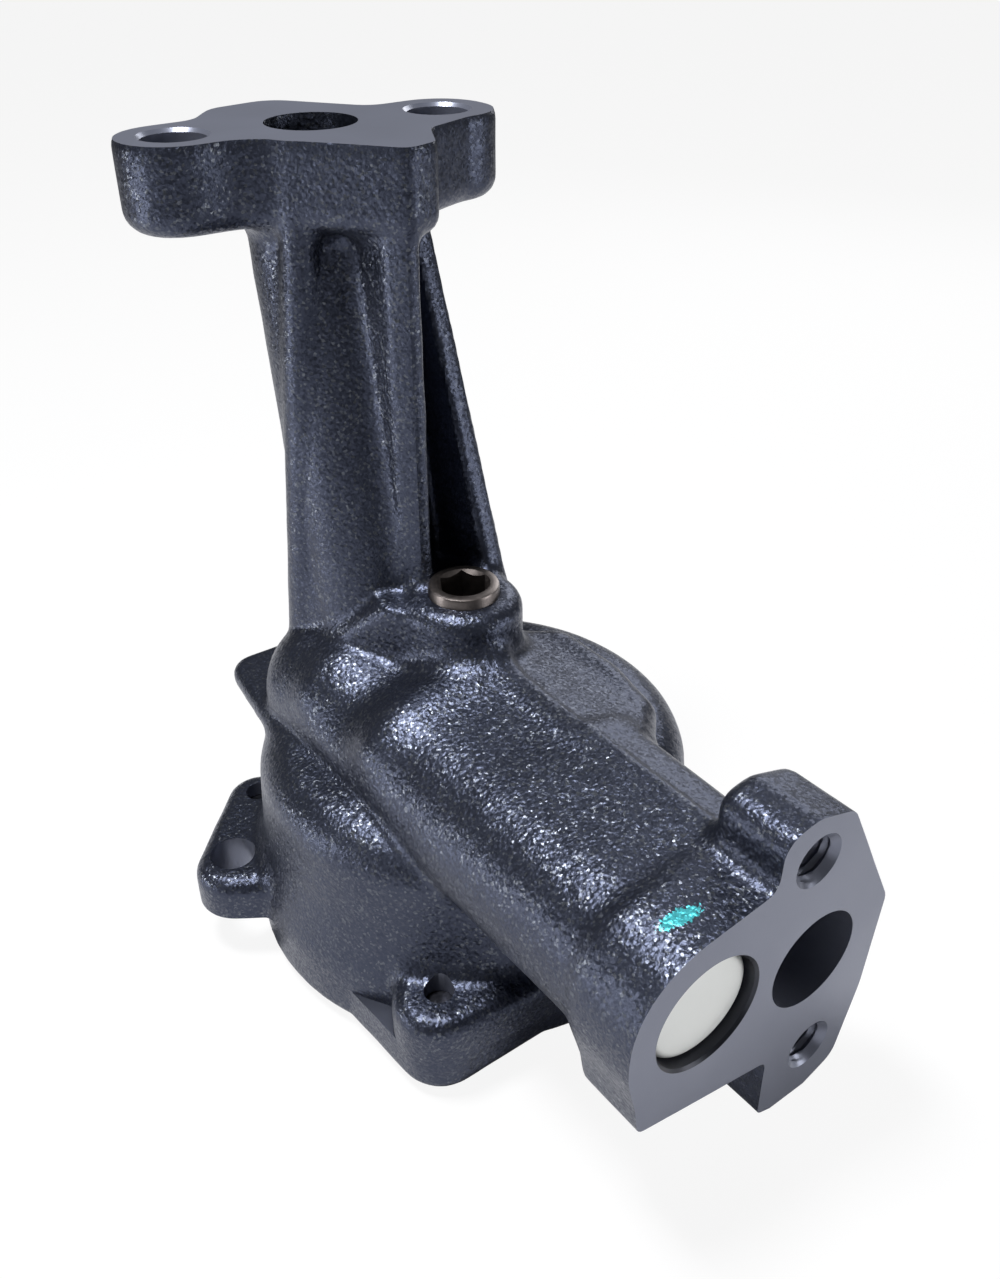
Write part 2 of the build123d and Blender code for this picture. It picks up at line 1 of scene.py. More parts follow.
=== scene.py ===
"""Looks of a gerotor engine oil pump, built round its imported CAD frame.

The housing and the cover are iron castings. Each is worked out as a field of distances to its
surface, level by level, so that its features run into each other with the broad fillets that a
sand mould gives, and is then cut by machining: flat faces, bores, drilled and tapped holes.
"""
import math

import bmesh
import bpy
import numpy as np
from mathutils import Euler, Matrix, Vector


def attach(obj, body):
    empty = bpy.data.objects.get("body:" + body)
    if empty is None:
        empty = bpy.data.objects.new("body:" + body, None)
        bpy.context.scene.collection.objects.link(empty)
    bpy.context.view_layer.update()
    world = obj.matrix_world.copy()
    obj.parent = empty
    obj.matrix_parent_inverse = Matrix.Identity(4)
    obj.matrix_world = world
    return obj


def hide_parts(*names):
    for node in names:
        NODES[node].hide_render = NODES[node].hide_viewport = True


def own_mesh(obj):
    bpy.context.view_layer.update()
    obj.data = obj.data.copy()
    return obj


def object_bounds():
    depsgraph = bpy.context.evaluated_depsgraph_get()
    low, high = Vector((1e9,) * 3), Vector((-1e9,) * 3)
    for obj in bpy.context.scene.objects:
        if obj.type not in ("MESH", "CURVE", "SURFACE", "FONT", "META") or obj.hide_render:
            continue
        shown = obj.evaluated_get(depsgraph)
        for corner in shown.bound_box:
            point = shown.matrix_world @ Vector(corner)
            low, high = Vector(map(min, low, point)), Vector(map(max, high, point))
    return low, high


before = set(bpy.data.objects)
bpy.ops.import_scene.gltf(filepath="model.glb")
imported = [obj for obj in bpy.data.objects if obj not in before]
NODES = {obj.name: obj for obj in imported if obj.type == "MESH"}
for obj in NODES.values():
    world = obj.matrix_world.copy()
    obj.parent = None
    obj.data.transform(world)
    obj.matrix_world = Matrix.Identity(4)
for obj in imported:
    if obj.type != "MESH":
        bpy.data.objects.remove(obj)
CAD_BOX = [list(corner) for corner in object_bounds()]

bl_info = {
    "name": "Engine Oil Pump",
    "version": (1, 0, 0),
    "blender": (4, 5, 0),
    "location": "View3D > Sidebar > Oil Pump",
    "description": "Builds the castings, the fasteners, the drive and the relief valve of an oil pump",
    "category": "Object",
}

MM = 0.001


# ---------------------------------------------------------------- sizes shared with the CAD, in mm
FLANGE_THICK = 13.8
OUTLET_RADIUS = 7.5
OUTLET_FOOT = (11.5, -0.5, -99.3)
COLUMN_TOP, COLUMN_FOOT = -6.9, -92.0
SHAFT = (31.3, 5.6)
SHAFT_RADIUS, SHAFT_CLEARANCE = 6.325, 0.05
SHAFT_TOP, SHAFT_END = -72.0, -134.95
SOCKET_FLATS, SOCKET_DEPTH = 7.94, 16.0
BODY = (31.3, 6.8)
JOINT = -135.0
BOSS_TOP = -74.0
DECK_TOP = -86.5
PARTING_TOP = -82.6
CHAMBER_RADIUS, CHAMBER_ROOF, ROTOR_OFFSET = 28.58, -112.7, 3.6
RELIEF = (-9.3, -99.3)
SEAT_X = 36.0
SEAT_RADIUS, VALVE_RADIUS = 4.75, 6.35
PLUG_RADIUS, PLUG_INNER_X, PLUG_FACE_X = 9.5, 101.8, 108.3
INLET = (12.9, -103.0)
INLET_RADIUS, INLET_END_X = 8.75, 50.0
FACE_X = 110.0
SCREW_SPREAD = (65.4, 59.6)
SCREWS = [
    (SHAFT[0] + sx * SCREW_SPREAD[0] / 2, SHAFT[1] + sy * SCREW_SPREAD[1] / 2)
    for sx in (-1, 1) for sy in (-1, 1)
]
SCREW_DRILL, SCREW_THREAD, SCREW_CLEARANCE, THREAD_TOP = 2.65, 3.195, 3.375, -129.5
LUG_TOP = -125.0
MOUNT_TURN = math.radians(80.5)
MOUNT_BOLTS = [(s * 22.05 * math.cos(MOUNT_TURN), s * 22.05 * math.sin(MOUNT_TURN)) for s in (-1, 1)]
MOUNT_RADIUS = 5.15
PICKUP_TURN = math.radians(8.0)
PICKUP_BOLTS = [
    (INLET[0] - s * 21.85 * math.sin(PICKUP_TURN), INLET[1] + s * 21.85 * math.cos(PICKUP_TURN))
    for s in (1, -1)
]
BRACE, BRACE_RADIUS = (12.2, -36.9), 4.35

# ---------------------------------------------------------------- sizes that differ from the CAD's
# The cover is thicker here, the tapped holes are shorter and the valve's bore ends sooner.
COVER_BOTTOM = -142.4
TAP_RADIUS, TAP_DEPTH = 3.3, 10.2
GALLERY_X = 21.0

# ---------------------------------------------------------------- outlines of the castings, in mm
# Places are (x, y) in plan, or (y, z) in a section across the arm, each with a radius. They are the
# rounded corners of an outline, or in LONG_LUG, COLLAR and ARM_FRONT circles that a hull goes round.
RIB = [(8.0, -1.2, 0), (22.0, -1.2, 2.0), (25.3, 1.0, 1.2), (25.3, 3.6, 1.3), (8.0, 3.6, 0)]
DECK = [
    (18, 0, 0), (18, 14, 4), (29, 17.5, 3), (34.5, 26.4, 6), (50, 26.6, 12), (63, 23.6, 5),
    (70.5, 16.5, 3), (70.5, 0, 0),
]
EAR = [(-14.2, -21.6, 5), (22, -26.8, 0), (22, 8, 0), (-2, 8, 6), (-14.2, -3, 5)]
LONG_LUG = [(*SCREWS[0], 6.6), (13.5, -36.8, 7.9), (21.75, -15.65, 13.0)]
COLLAR = [(30.0, 5.6, 9.6), (12.2, -0.5, 13.2), (3.8, -10.6, 5.4)]
ARM_FRONT = [(*RELIEF, 14.0), (5.3, PARTING_TOP - 0.5, 0.5), (5.3, -115.0, 0.5)]
ARM_BACK = [
    (4.6, PARTING_TOP, 0), (5.6, PARTING_TOP, 0), (13.5, PARTING_TOP - 2.2, 5), (24.8, -99.5, 9),
    (24.6, -115.7, 10), (4.6, -115.7, 0),
]
PICKUP_FLANGE = [
    (5.7, -133.9, 0.6), (13.0, -136.5, 8), (23.2, -132.3, 4), (26.9, -117.6, 18), (28.8, -99.2, 3),
    (16.3, -75.4, 3.5), (8.6, -73, 5), (2, -74.2, 4), (1.9, -83.6, 2.2), (-22.9, -85.7, 13),
    (-23.2, -103.5, 12), (-21.5, -115.8, 1.8), (5.6, -121.0, 1.5),
]
# Bumps and dips along the arm's roof: place along X, height and spread.
ROOF_BUMPS = ((19, 1.0, 4.8), (30.5, -1.2, 4.8), (41, 1.7, 5.4), (60, -0.3, 8), (92, 0.3, 9))
# The body widens towards its joint face: depth below the mounting face, and radius there.
BODY_DEPTHS = (101, 120, 125, 127.5, 130, 131.5, 133)
BODY_RADII = (39.9, 41.0, 41.8, 42.3, 42.9, 43.1, 43.2)


# ================================================================ outlines
def rounded(corners, steps=10):
    """Points of a closed outline whose corners, each (x, y, radius), are rounded."""
    points = []
    count = len(corners)
    for index, (x, y, radius) in enumerate(corners):
        here = Vector((x, y))
        before = (Vector(corners[index - 1][:2]) - here).normalized()
        after = (Vector(corners[(index + 1) % count][:2]) - here).normalized()
        half = before.angle(after) / 2
        if radius < 0.05 or half > 1.56:
            points.append((x, y))
            continue
        reach = radius / math.tan(half)
        centre = here + (before + after).normalized() * (radius / math.sin(half))
        start = here + before * reach - centre
        turn = start.angle_signed(here + after * reach - centre)
        for step in range(steps + 1):
            angle = -turn * step / steps
            spoke = Matrix.Rotation(angle, 2) @ start
            points.append(tuple(centre + spoke))
    return np.array(points)


def hull(circles, steps=40):
    """Convex outline round some circles, each (x, y, radius)."""
    turns = np.linspace(0, 2 * math.pi, steps, endpoint=False)
    cloud = sorted(
        (x + radius * math.cos(t), y + radius * math.sin(t)) for x, y, radius in circles for t in turns
    )
    halves = []
    for order in (cloud, cloud[::-1]):
        chain = []
        for point in order:
            while len(chain) > 1 and (
                (chain[-1][0] - chain[-2][0]) * (point[1] - chain[-2][1])
                - (chain[-1][1] - chain[-2][1]) * (point[0] - chain[-2][0])
            ) <= 0:
                chain.pop()
            chain.append(point)
        halves += chain[:-1]
    return np.array(halves)


def outline_distance(x, y, points):
    """Signed distance from each place (x, y) to a closed outline, negative inside it."""
    nearest = np.full(np.broadcast(x, y).shape, 1e9, np.float32)
    inside = np.zeros(nearest.shape, bool)
    for (ax, ay), (bx, by) in zip(points, np.roll(points, -1, axis=0)):
        ex, ey = bx - ax, by - ay
        length = ex * ex + ey * ey
        if length < 1e-12:
            continue
        along = np.clip(((x - ax) * ex + (y - ay) * ey) / length, 0, 1)
        dx, dy = x - ax - along * ex, y - ay - along * ey
        nearest = np.minimum(nearest, dx * dx + dy * dy)
        if ay != by:
            crosses = (ay > y) != (by > y)
            inside ^= crosses & (x < ex * (y - ay) / ey + ax)
    nearest = np.sqrt(nearest)
    return np.where(inside, -nearest, nearest).astype(np.float32)


def circle_distance(x, y, centre, radius):
    return np.hypot(x - centre[0], y - centre[1]) - radius


def capsule_distance(x, y, a, radius_a, b, radius_b):
    """Signed distance to the hull of two circles."""
    dx, dy = b[0] - a[0], b[1] - a[1]
    length = math.hypot(dx, dy)
    along = ((x - a[0]) * dx + (y - a[1]) * dy) / length
    across = np.abs((x - a[0]) * dy - (y - a[1]) * dx) / length
    slope = (radius_a - radius_b) / length
    rise = math.sqrt(1 - slope * slope)
    place = -slope * across + rise * along
    return np.where(
        place < 0,
        np.hypot(across, along) - radius_a,
        np.where(
            place > rise * length,
            np.hypot(across, along - length) - radius_b,
            across * rise + along * slope - radius_a,
        ),
    )


# ================================================================ joining features
def fillet_union(a, b, radius):
    """Two features as one, with a concave fillet of that radius between them."""
    return np.maximum(radius, np.minimum(a, b)) - np.hypot(
        np.maximum(radius - a, 0), np.maximum(radius - b, 0)
    )


def rounded_cut(a, b, radius):
    """What two features share, with the edge between them rounded to that radius."""
    return np.minimum(-radius, np.maximum(a, b)) + np.hypot(
        np.maximum(radius + a, 0), np.maximum(radius + b, 0)
    )


def mix(a, b, share):
    return a + (b - a) * share


def smooth_step(low, high, value):
    share = np.clip((value - low) / (high - low), 0, 1)
    return share * share * (3 - 2 * share)


# ================================================================ the castings' fields
class Grid:
    """A box of evenly spaced places in mm, where a casting's distances are worked out."""

    def __init__(self, low, high, cell):
        self.low, self.cell = np.array(low, float), cell
        self.counts = [int(math.ceil((h - l) / cell)) + 1 for l, h in zip(low, high)]
        self.x, self.y, self.z = (l + cell * np.arange(n) for l, n in zip(low, self.counts))
        self.plan_x = self.x[:, None].astype(np.float32)
        self.plan_y = self.y[None, :].astype(np.float32)


def lumps(grid, size, seed):
    """Smooth random heights from -1 to 1 over a grid, with lumps of that size in mm."""
    random = np.random.RandomState(seed)
    span = [int(n * grid.cell / size) + 3 for n in grid.counts]
    coarse = random.uniform(-1, 1, span).astype(np.float32)
    for axis, count in enumerate(grid.counts):
        place = np.arange(count) * grid.cell / size
        first = place.astype(int)
        share = (place - first).astype(np.float32)
        share = share * share * (3 - 2 * share)
        share = share.reshape([-1 if a == axis else 1 for a in range(3)])
        coarse = mix(np.take(coarse, first, axis), np.take(coarse, first + 1, axis), share)
    return coarse


def flange_outline():
    """Plan of the mounting flange: a lobe round each bolt and a waist round the outlet."""
    (left_x, left_y), (right_x, right_y) = MOUNT_BOLTS
    lobe = 9.2
    return rounded([
        (left_x - lobe, left_y - lobe, 9.1),
        (left_x + lobe, left_y - lobe, 9.1),
        (left_x + lobe, left_y + 7.4, 9.0),
        (26.8, 1.3, 2.5),
        (25.1, 7.2, 3.0),
        (16.4, 12.1, 3.0),
        (right_x + lobe, right_y, 6.0),
        (right_x + lobe, right_y + lobe, 8.1),
        (right_x - lobe, right_y + lobe, 9.1),
        (right_x - lobe, 14.5, 5.0),
        (-21.4, 3.8, 6.0),
        (-20.0, -8.0, 6.0),
        (left_x - lobe, -14.5, 5.0),
    ])


def lug_plans():
    """Circles whose hulls are the screw lugs' plans. The last one is long, for the brace's hole too."""
    plans = []
    for sx, sy in SCREWS[1:]:
        side = 1 if sx > SHAFT[0] else -1
        turn = 1 if sy > BODY[1] else -1
        tip = (sx, sy, 8.2)
        root = (mix(BODY[0], sx, 0.53), mix(BODY[1], sy, 0.53), 10.3)
        heel = (BODY[0] + side * 26.5, BODY[1] + turn * 6.5, 17.0)
        plans.append([tip, root, heel])
    return [*plans, LONG_LUG]


def web_distance(x, y, level):
    """The flat web behind the column, which reaches further out towards its foot."""
    turn, start_y, half_thick, full_reach = math.radians(9), 11, 2.25, 29.3
    along = x * math.cos(turn) + (y - start_y) * math.sin(turn)
    across = np.abs(-x * math.sin(turn) + (y - start_y) * math.cos(turn)) - half_thick
    reach = min(8.9 + (COLUMN_TOP - level) * 0.2896, full_reach)
    return rounded_cut(np.maximum(along - reach, -along), across, 1.2)


def column_distance(x, y, level, flange, rib, sizes):
    """The outlet column and its flange: a leaning tube with a ridge and a rib in front and a web behind."""
    sink = min(1.0, max(0.0, (level - COLUMN_TOP) / (COLUMN_FOOT - COLUMN_TOP)))
    tube_x = 12.2 * min(1.0, level / COLUMN_FOOT) if level < 0 else 0.0
    tube_at = (tube_x - 2.5 * (1 - sink), -0.3 - 0.2 * sink)
    tube = mix(11.6, 12.0, sink)
    ridge_at = (mix(8.9, 3.6, sink), mix(-8.1, -11.0, sink))
    ridge = mix(3.0, 4.2, sink)
    inset = mix(sizes.wall_sink / MM, 0.0, sink)
    column = circle_distance(x, y, tube_at, tube)
    wall = capsule_distance(x, y, tube_at, tube - inset, ridge_at, ridge - inset / 2.2)
    column = np.minimum(column, wall)
    column = fillet_union(column, circle_distance(x, y, ridge_at, ridge), 0.9)
    column = fillet_union(column, rib, 2.6)
    column = fillet_union(column, web_distance(x, y, level), 3.0)
    column = np.maximum(column, np.maximum(-104 - level, level - 2))
    slab = rounded_cut(flange, np.maximum(-FLANGE_THICK - level, level - 2), 3.4)
    return fillet_union(column, slab, sizes.under_flange / MM * np.clip(-flange / 3.5, 0.12, 1))


def body_distance(x, y, level, deck):
    """The round pump body and the raised deck behind the arm."""
    radius = np.interp(-level, BODY_DEPTHS, BODY_RADII)
    body = rounded_cut(np.hypot(x - BODY[0], y - BODY[1]) - radius, level + 101.5, 8.0)
    deck_top = mix(PARTING_TOP - 0.6, DECK_TOP - 0.3, smooth_step(4.0, 22.0, y))
    return fillet_union(body, rounded_cut(deck, level - deck_top, 3.5), 2.2)


def arm_distance(x, level, sections, roof, sizes):
    """The inlet arm: the relief valve's barrel in front, the inlet behind, and the pickup flange."""
    barrel_end, front, back, pickup = sections
    past_face = x - FACE_X - 2
    bumps = roof * smooth_step(-99.0, -89.0, level)
    arm = np.maximum(front - bumps, np.maximum(12.2 - x, past_face))
    barrel = rounded_cut(barrel_end - bumps, -3.7 - x, 13.6)
    arm = np.minimum(arm, np.maximum(barrel, x - 30))
    rear = rounded_cut(back + 0.02 * np.maximum(x - 60, 0), 63.0 - x, 3.0)
    arm = fillet_union(arm, np.maximum(rear, past_face), 0.8)
    plate = rounded_cut(pickup + 0 * x, 96.2 - x, 3.0)
    return fillet_union(arm, np.maximum(plate, past_face), sizes.pickup / MM)


def housing_field(grid, sizes):
    """Distances to the surface of the housing casting, before it is machined."""
    x, y = grid.plan_x, grid.plan_y
    flange = outline_distance(x, y, flange_outline())
    rib = outline_distance(x, y, rounded(RIB))
    deck = outline_distance(x, y, rounded(DECK))
    ear = outline_distance(x, y, rounded(EAR))
    collar_plan = outline_distance(x, y, hull(COLLAR))
    lugs = np.minimum.reduce([outline_distance(x, y, hull(plan)) for plan in lug_plans()])
    boss_plan = circle_distance(x, y, SHAFT, 10.4)

    across, up = grid.y[:, None], grid.z[None, :]
    sections = (
        circle_distance(across, up, RELIEF, 14.0),
        outline_distance(across, up, hull(ARM_FRONT)),
        outline_distance(across, up, rounded(ARM_BACK)),
        outline_distance(across, up, rounded(PICKUP_FLANGE)),
    )
    roof = np.zeros_like(x)
    for at, rise, spread in ROOF_BUMPS:
        roof = roof + rise * np.exp(-((x - at) / spread) ** 2)

    # The collar's top slopes down to the front, and the column's foot has a wider fillet behind it.
    collar_top = -75.9 + 0.349 * x + 1.055 * y
    foot_fillet = mix(0.6, sizes.column_foot / MM, smooth_step(-9.0, 4.0, 0.596 * x + 0.803 * y))
    boss_fillet = mix(2.5, sizes.boss / MM, 1 - smooth_step(2.0, 9.0, y))

    field = np.empty(grid.counts, np.float32)
    for index, level in enumerate(grid.z):
        here = [section[None, :, index] for section in sections]
        solid = body_distance(x, y, level, deck)
        solid = fillet_union(solid, arm_distance(x, level, here, roof, sizes), sizes.arm / MM)
        boss = rounded_cut(boss_plan, level - BOSS_TOP, 3.2)
        solid = fillet_union(solid, boss, boss_fillet)
        solid = fillet_union(solid, column_distance(x, y, level, flange, rib, sizes), foot_fillet)
        collar = rounded_cut(collar_plan, np.maximum((level - collar_top) / 1.5, level + 75.2), 1.4)
        solid = fillet_union(solid, np.maximum(collar, -98 - level), sizes.collar / MM)
        ear_slab = rounded_cut(ear + 0.6 * max(-105.0 - level, 0), abs(level + 107.0) - 5.0, 2.0)
        solid = fillet_union(solid, ear_slab, 1.5)
        lug = rounded_cut(lugs, level + 126.5, 3.0)
        solid = fillet_union(solid, lug, 1.2 + 2.5 * math.exp(-((level + 124) / 3) ** 2))
        field[:, :, index] = np.maximum(solid, JOINT - 1.5 - level)
    return field


def cover_field(grid):
    """Distances to the surface of the cover casting, before its joint face is ground."""
    x, y = grid.plan_x, grid.plan_y
    plan = circle_distance(x, y, BODY, 42.9)
    for sx, sy in SCREWS:
        plan = np.minimum(plan, capsule_distance(x, y, (sx, sy), 7.7, BODY, 40.6))
    field = np.empty(grid.counts, np.float32)
    for index, level in enumerate(grid.z):
        field[:, :, index] = np.maximum(rounded_cut(plan, COVER_BOTTOM - level, 0.9), level - JOINT - 1.5)
    return field


# ================================================================ from a field to a mesh
def sample(field, grid, places):
    """The field at any places in mm, from the eight grid places round each."""
    cell = np.clip((places - grid.low) / grid.cell, 0, np.array(grid.counts) - 1.001)
    first = cell.astype(int)
    share = (cell - first).astype(np.float32)
    total = np.zeros(len(places), np.float32)
    for corner in range(8):
        step = np.array([corner & 1, corner >> 1 & 1, corner >> 2 & 1])
        weight = np.prod(np.where(step, share, 1 - share), axis=1)
        i, j, k = (first + step).T
        total += weight * field[i, j, k]
    return total


def surface(field, grid):
    """The field's zero surface: places in mm, one for each cell that it crosses, and four-cornered faces."""
    inside = field < 0
    nx, ny, nz = field.shape
    total = np.zeros((nx - 1, ny - 1, nz - 1), np.int8)
    for i in (0, 1):
        for j in (0, 1):
            for k in (0, 1):
                total += inside[i:nx - 1 + i, j:ny - 1 + j, k:nz - 1 + k]
    active = (total > 0) & (total < 8)
    cells = np.argwhere(active)
    number = np.full(active.shape, -1, np.int32)
    number[active] = np.arange(len(cells))
    corners = np.array([[c & 1, c >> 1 & 1, c >> 2 & 1] for c in range(8)])
    values = np.stack([field[tuple((cells + c).T)] for c in corners], axis=1)
    place = np.zeros((len(cells), 3))
    count = np.zeros(len(cells))
    for a in range(8):
        for b in range(a + 1, 8):
            if bin(a ^ b).count("1") != 1:
                continue
            crossed = (values[:, a] < 0) != (values[:, b] < 0)
            gap = np.where(crossed, values[:, a] - values[:, b], 1.0)
            share = np.where(crossed, values[:, a] / gap, 0)
            place += np.where(crossed[:, None], corners[a] + share[:, None] * (corners[b] - corners[a]), 0)
            count += crossed
    places = grid.low + grid.cell * (cells + place / count[:, None])
    faces = []
    for axis in range(3):
        other, third = (axis + 1) % 3, (axis + 2) % 3
        here = [slice(1, -1)] * 3
        ahead = [slice(1, -1)] * 3
        here[axis], ahead[axis] = slice(0, -1), slice(1, None)
        low, high = inside[tuple(here)], inside[tuple(ahead)]
        edge = np.argwhere(low != high)
        offset = np.ones(3, int)
        offset[axis] = 0
        edge = edge + offset
        rising = low[tuple((edge - offset).T)]
        ring = []
        for back_other, back_third in ((1, 1), (0, 1), (0, 0), (1, 0)):
            cell = edge.copy()
            cell[:, other] -= back_other
            cell[:, third] -= back_third
            ring.append(number[tuple(cell.T)])
        ring = np.stack(ring, axis=1)
        faces.append(np.where(rising[:, None], ring, ring[:, ::-1]))
    return places, np.concatenate(faces)


def settle(places, faces, field, grid, rounds):
    """Spreads a surface's places evenly and puts them back on the field's zero surface."""
    edges = np.concatenate([faces[:, [0, 1]], faces[:, [1, 2]], faces[:, [2, 3]], faces[:, [3, 0]]])
    count = np.bincount(edges.ravel(), minlength=len(places))
    half = grid.cell / 2
    for _ in range(rounds):
        total = np.zeros_like(places)
        for axis in range(3):
            total[:, axis] = np.bincount(edges[:, 0], places[edges[:, 1], axis], len(places))
            total[:, axis] += np.bincount(edges[:, 1], places[edges[:, 0], axis], len(places))
        places = mix(places, total / count[:, None], 0.5)
        value = sample(field, grid, places)
        slope = np.zeros_like(places)
        for axis in range(3):
            step = np.zeros(3)
            step[axis] = half
            rise = sample(field, grid, places + step) - sample(field, grid, places - step)
            slope[:, axis] = rise / (2 * half)
        square = np.maximum((slope ** 2).sum(axis=1), 0.2)
        move = -(value / square)[:, None] * slope
        places = places + np.clip(move, -grid.cell, grid.cell)
    return places


def mesh_object(name, places, faces):
    """An object in metres from places in mm and faces that all have the same number of corners."""
    mesh = bpy.data.meshes.new(name)
    faces = np.asarray(faces)
    mesh.vertices.add(len(places))
    mesh.vertices.foreach_set("co", (np.asarray(places) * MM).astype(np.float32).ravel())
    mesh.loops.add(faces.size)
    mesh.loops.foreach_set("vertex_index", faces.ravel().astype(np.int32))
    mesh.polygons.add(len(faces))
    mesh.polygons.foreach_set("loop_start", np.arange(0, faces.size, faces.shape[1], dtype=np.int32))
    mesh.update(calc_edges=True)
    mesh.validate()
    made = bpy.data.objects.new(name, mesh)
    bpy.context.scene.collection.objects.link(made)
    return made


def finished(made):
    """Turns an object's modifiers into its mesh."""
    graph = bpy.context.evaluated_depsgraph_get()
    graph.update()
    mesh = bpy.data.meshes.new_from_object(made.evaluated_get(graph))
    if not mesh.polygons:
        raise RuntimeError(f"{made.name}: its modifiers left no faces")
    made.modifiers.clear()
    old = made.data
    made.data = mesh
    mesh.name = made.name
    bpy.data.meshes.remove(old)
    return made


def cut(made, tool, operation="DIFFERENCE"):
    """Machines an object with a closed tool, which is then thrown away."""
    step = made.modifiers.new("cut", "BOOLEAN")
    step.object = tool
    step.operation = operation
    step.solver = "MANIFOLD"
    step.material_mode = "TRANSFER" if hasattr(step, "material_mode") else "INDEX"
    before = len(made.data.polygons)
    finished(made)
    if step_failed(made, before):
        raise RuntimeError(f"{made.name}: cutting with {tool.name} did nothing")
    remove(tool)
    return made


def step_failed(made, before):
    """True unless a cut left another number of faces and a closed mesh."""
    shape = bmesh.new()
    shape.from_mesh(made.data)
    open_edges = sum(1 for edge in shape.edges if len(edge.link_faces) != 2)
    shape.free()
    return len(made.data.polygons) == before or open_edges > 0


def remove(made):
    mesh = made.data
    bpy.data.objects.remove(made)
    bpy.data.meshes.remove(mesh)


# ================================================================ tools and turned parts
def ringed_solid(rings, first_end, last_end):
    """Places and triangles of a closed solid from rings of equally many places and its two end points."""
    steps, top = len(rings[0]), (len(rings) - 1) * len(rings[0])
    places = np.concatenate([*rings, [first_end, last_end]])
    faces = []
    for start in range(0, top, steps):
        for step in range(steps):
            a, b = start + step, start + (step + 1) % steps
            faces += [(a, b, b + steps), (a, b + steps, a + steps)]
    first, last = len(places) - 2, len(places) - 1
    for step in range(steps):
        after = (step + 1) % steps
        faces += [(first, after, step), (last, top + step, top + after)]
    return places, np.array(faces)


def turned(profile, axis_at, along="Z", steps=64):
    """Places and triangles of a closed turned solid. The profile is (radius, place along the axis)
    from one end of the axis to the other, both ends on the axis."""
    profile = [p for p in profile if p[0] > 1e-6]
    turns = np.linspace(0, 2 * math.pi, steps, endpoint=False)
    rings = [[(r * math.cos(t), r * math.sin(t), h) for t in turns] for r, h in profile]
    places, faces = ringed_solid(rings, (0, 0, profile[0][1]), (0, 0, profile[-1][1]))
    if profile[0][1] > profile[-1][1]:
        faces = faces[:, ::-1]
    return laid(places, axis_at, along), faces


def laid(places, axis_at, along):
    """Puts places that were made round +Z onto an axis along Z, or along +X, at (x, y) or (y, z)."""
    if along == "Z":
        return places + np.array([axis_at[0], axis_at[1], 0])
    turned_places = places[:, [2, 0, 1]]
    return turned_places + np.array([0, axis_at[0], axis_at[1]])


def loft(low_ring, high_ring):
    """Places and triangles of a closed solid between two rings of equally many places."""
    return ringed_solid([low_ring, high_ring], low_ring.mean(axis=0), high_ring.mean(axis=0))


def ring_at(outline, level):
    """An outline in plan as a ring of places at one level."""
    return np.column_stack([outline, np.full(len(outline), level)])


def prism(outline, low, high):
    """Places and triangles of a solid with a plan outline that is star-shaped about its middle."""
    return loft(ring_at(outline, low), ring_at(outline, high))


def joint_block(low, high):
    """A block between two levels that is wider than the pump."""
    return prism([(-30, -60), (FACE_X, -60), (FACE_X, 60), (-30, 60)], low, high)


def polygon(centre, radius, sides, first_turn=0.0):
    """Corners of a regular polygon in plan."""
    turns = first_turn + np.linspace(0, 2 * math.pi, sides, endpoint=False)
    return np.column_stack([centre[0] + radius * np.cos(turns), centre[1] + radius * np.sin(turns)])


def tapped_hole(radius, depth, pitch, thread, lead_in, steps=48, per_turn=8):
    """Places and triangles of a tap's shape: from its tip at 0 to its mouth at depth, round +Z."""
    rows = int(depth / pitch * per_turn)
    turns = np.linspace(0, 2 * math.pi, steps, endpoint=False)
    heights = np.linspace(0, depth, rows + 1)
    rings = []
    for height in heights:
        wave = np.abs(((height / pitch - turns / (2 * math.pi)) % 1) * 2 - 1)
        fade = min(1.0, height / (2 * pitch))
        ring_radius = radius + thread * wave * fade
        ring_radius = np.maximum(ring_radius, radius + lead_in - (depth - height))
        ring = np.column_stack([ring_radius * np.cos(turns), ring_radius * np.sin(turns)])
        rings.append(ring_at(ring, height))
    over = rings[-1].copy()
    over[:, :2] *= (radius + lead_in + 1) / np.linalg.norm(over[:, :2], axis=1)[:, None]
    over[:, 2] = depth + 1
    return ringed_solid([*rings, over], (0, 0, -radius * 0.6), (0, 0, depth + 1))


def tool(name, parts, material):
    """One cutter from separate closed solids, each (places, triangles), that leaves its material."""
    places, faces, first = [], [], 0
    for part_places, part_faces in parts:
        places.append(part_places)
        faces.append(part_faces + first)
        first += len(part_places)
    made = mesh_object(name, np.concatenate(places), np.concatenate(faces))
    made.data.materials.append(material)
    return made


def drill(radius, low, high, at, steps=64):
    """A plain round hole along Z."""
    return turned([(0, low), (radius, low), (radius, high), (0, high)], at, steps=steps)


def smooth_shaded(made, angle=32):
    """Smooth shading with every edge sharper than the angle kept crisp."""
    made.data.shade_smooth()
    made.data.set_sharp_from_angle(angle=math.radians(angle))
    return made


# ================================================================ materials
def linear(hex_colour):
    """A hex sRGB colour as linear red, green, blue and alpha."""
    parts = [int(hex_colour[i:i + 2], 16) / 255 for i in (1, 3, 5)]
    return (*[c / 12.92 if c <= 0.04045 else ((c + 0.055) / 1.055) ** 2.4 for c in parts], 1.0)


def per_mm(size):
    """The scale of a pattern whose marks are that many mm across."""
    return 1.0 / (size * MM)


def add_node(tree, kind, inputs=None, **settings):
    """Adds a node; each input is a value or another node's output."""
    node = tree.nodes.new(kind)
    for name, value in settings.items():
        setattr(node, name, value)
    for name, value in (inputs or {}).items():
        if isinstance(value, bpy.types.NodeSocket):
            tree.links.new(value, node.inputs[name])
        else:
            node.inputs[name].default_value = value
    return node


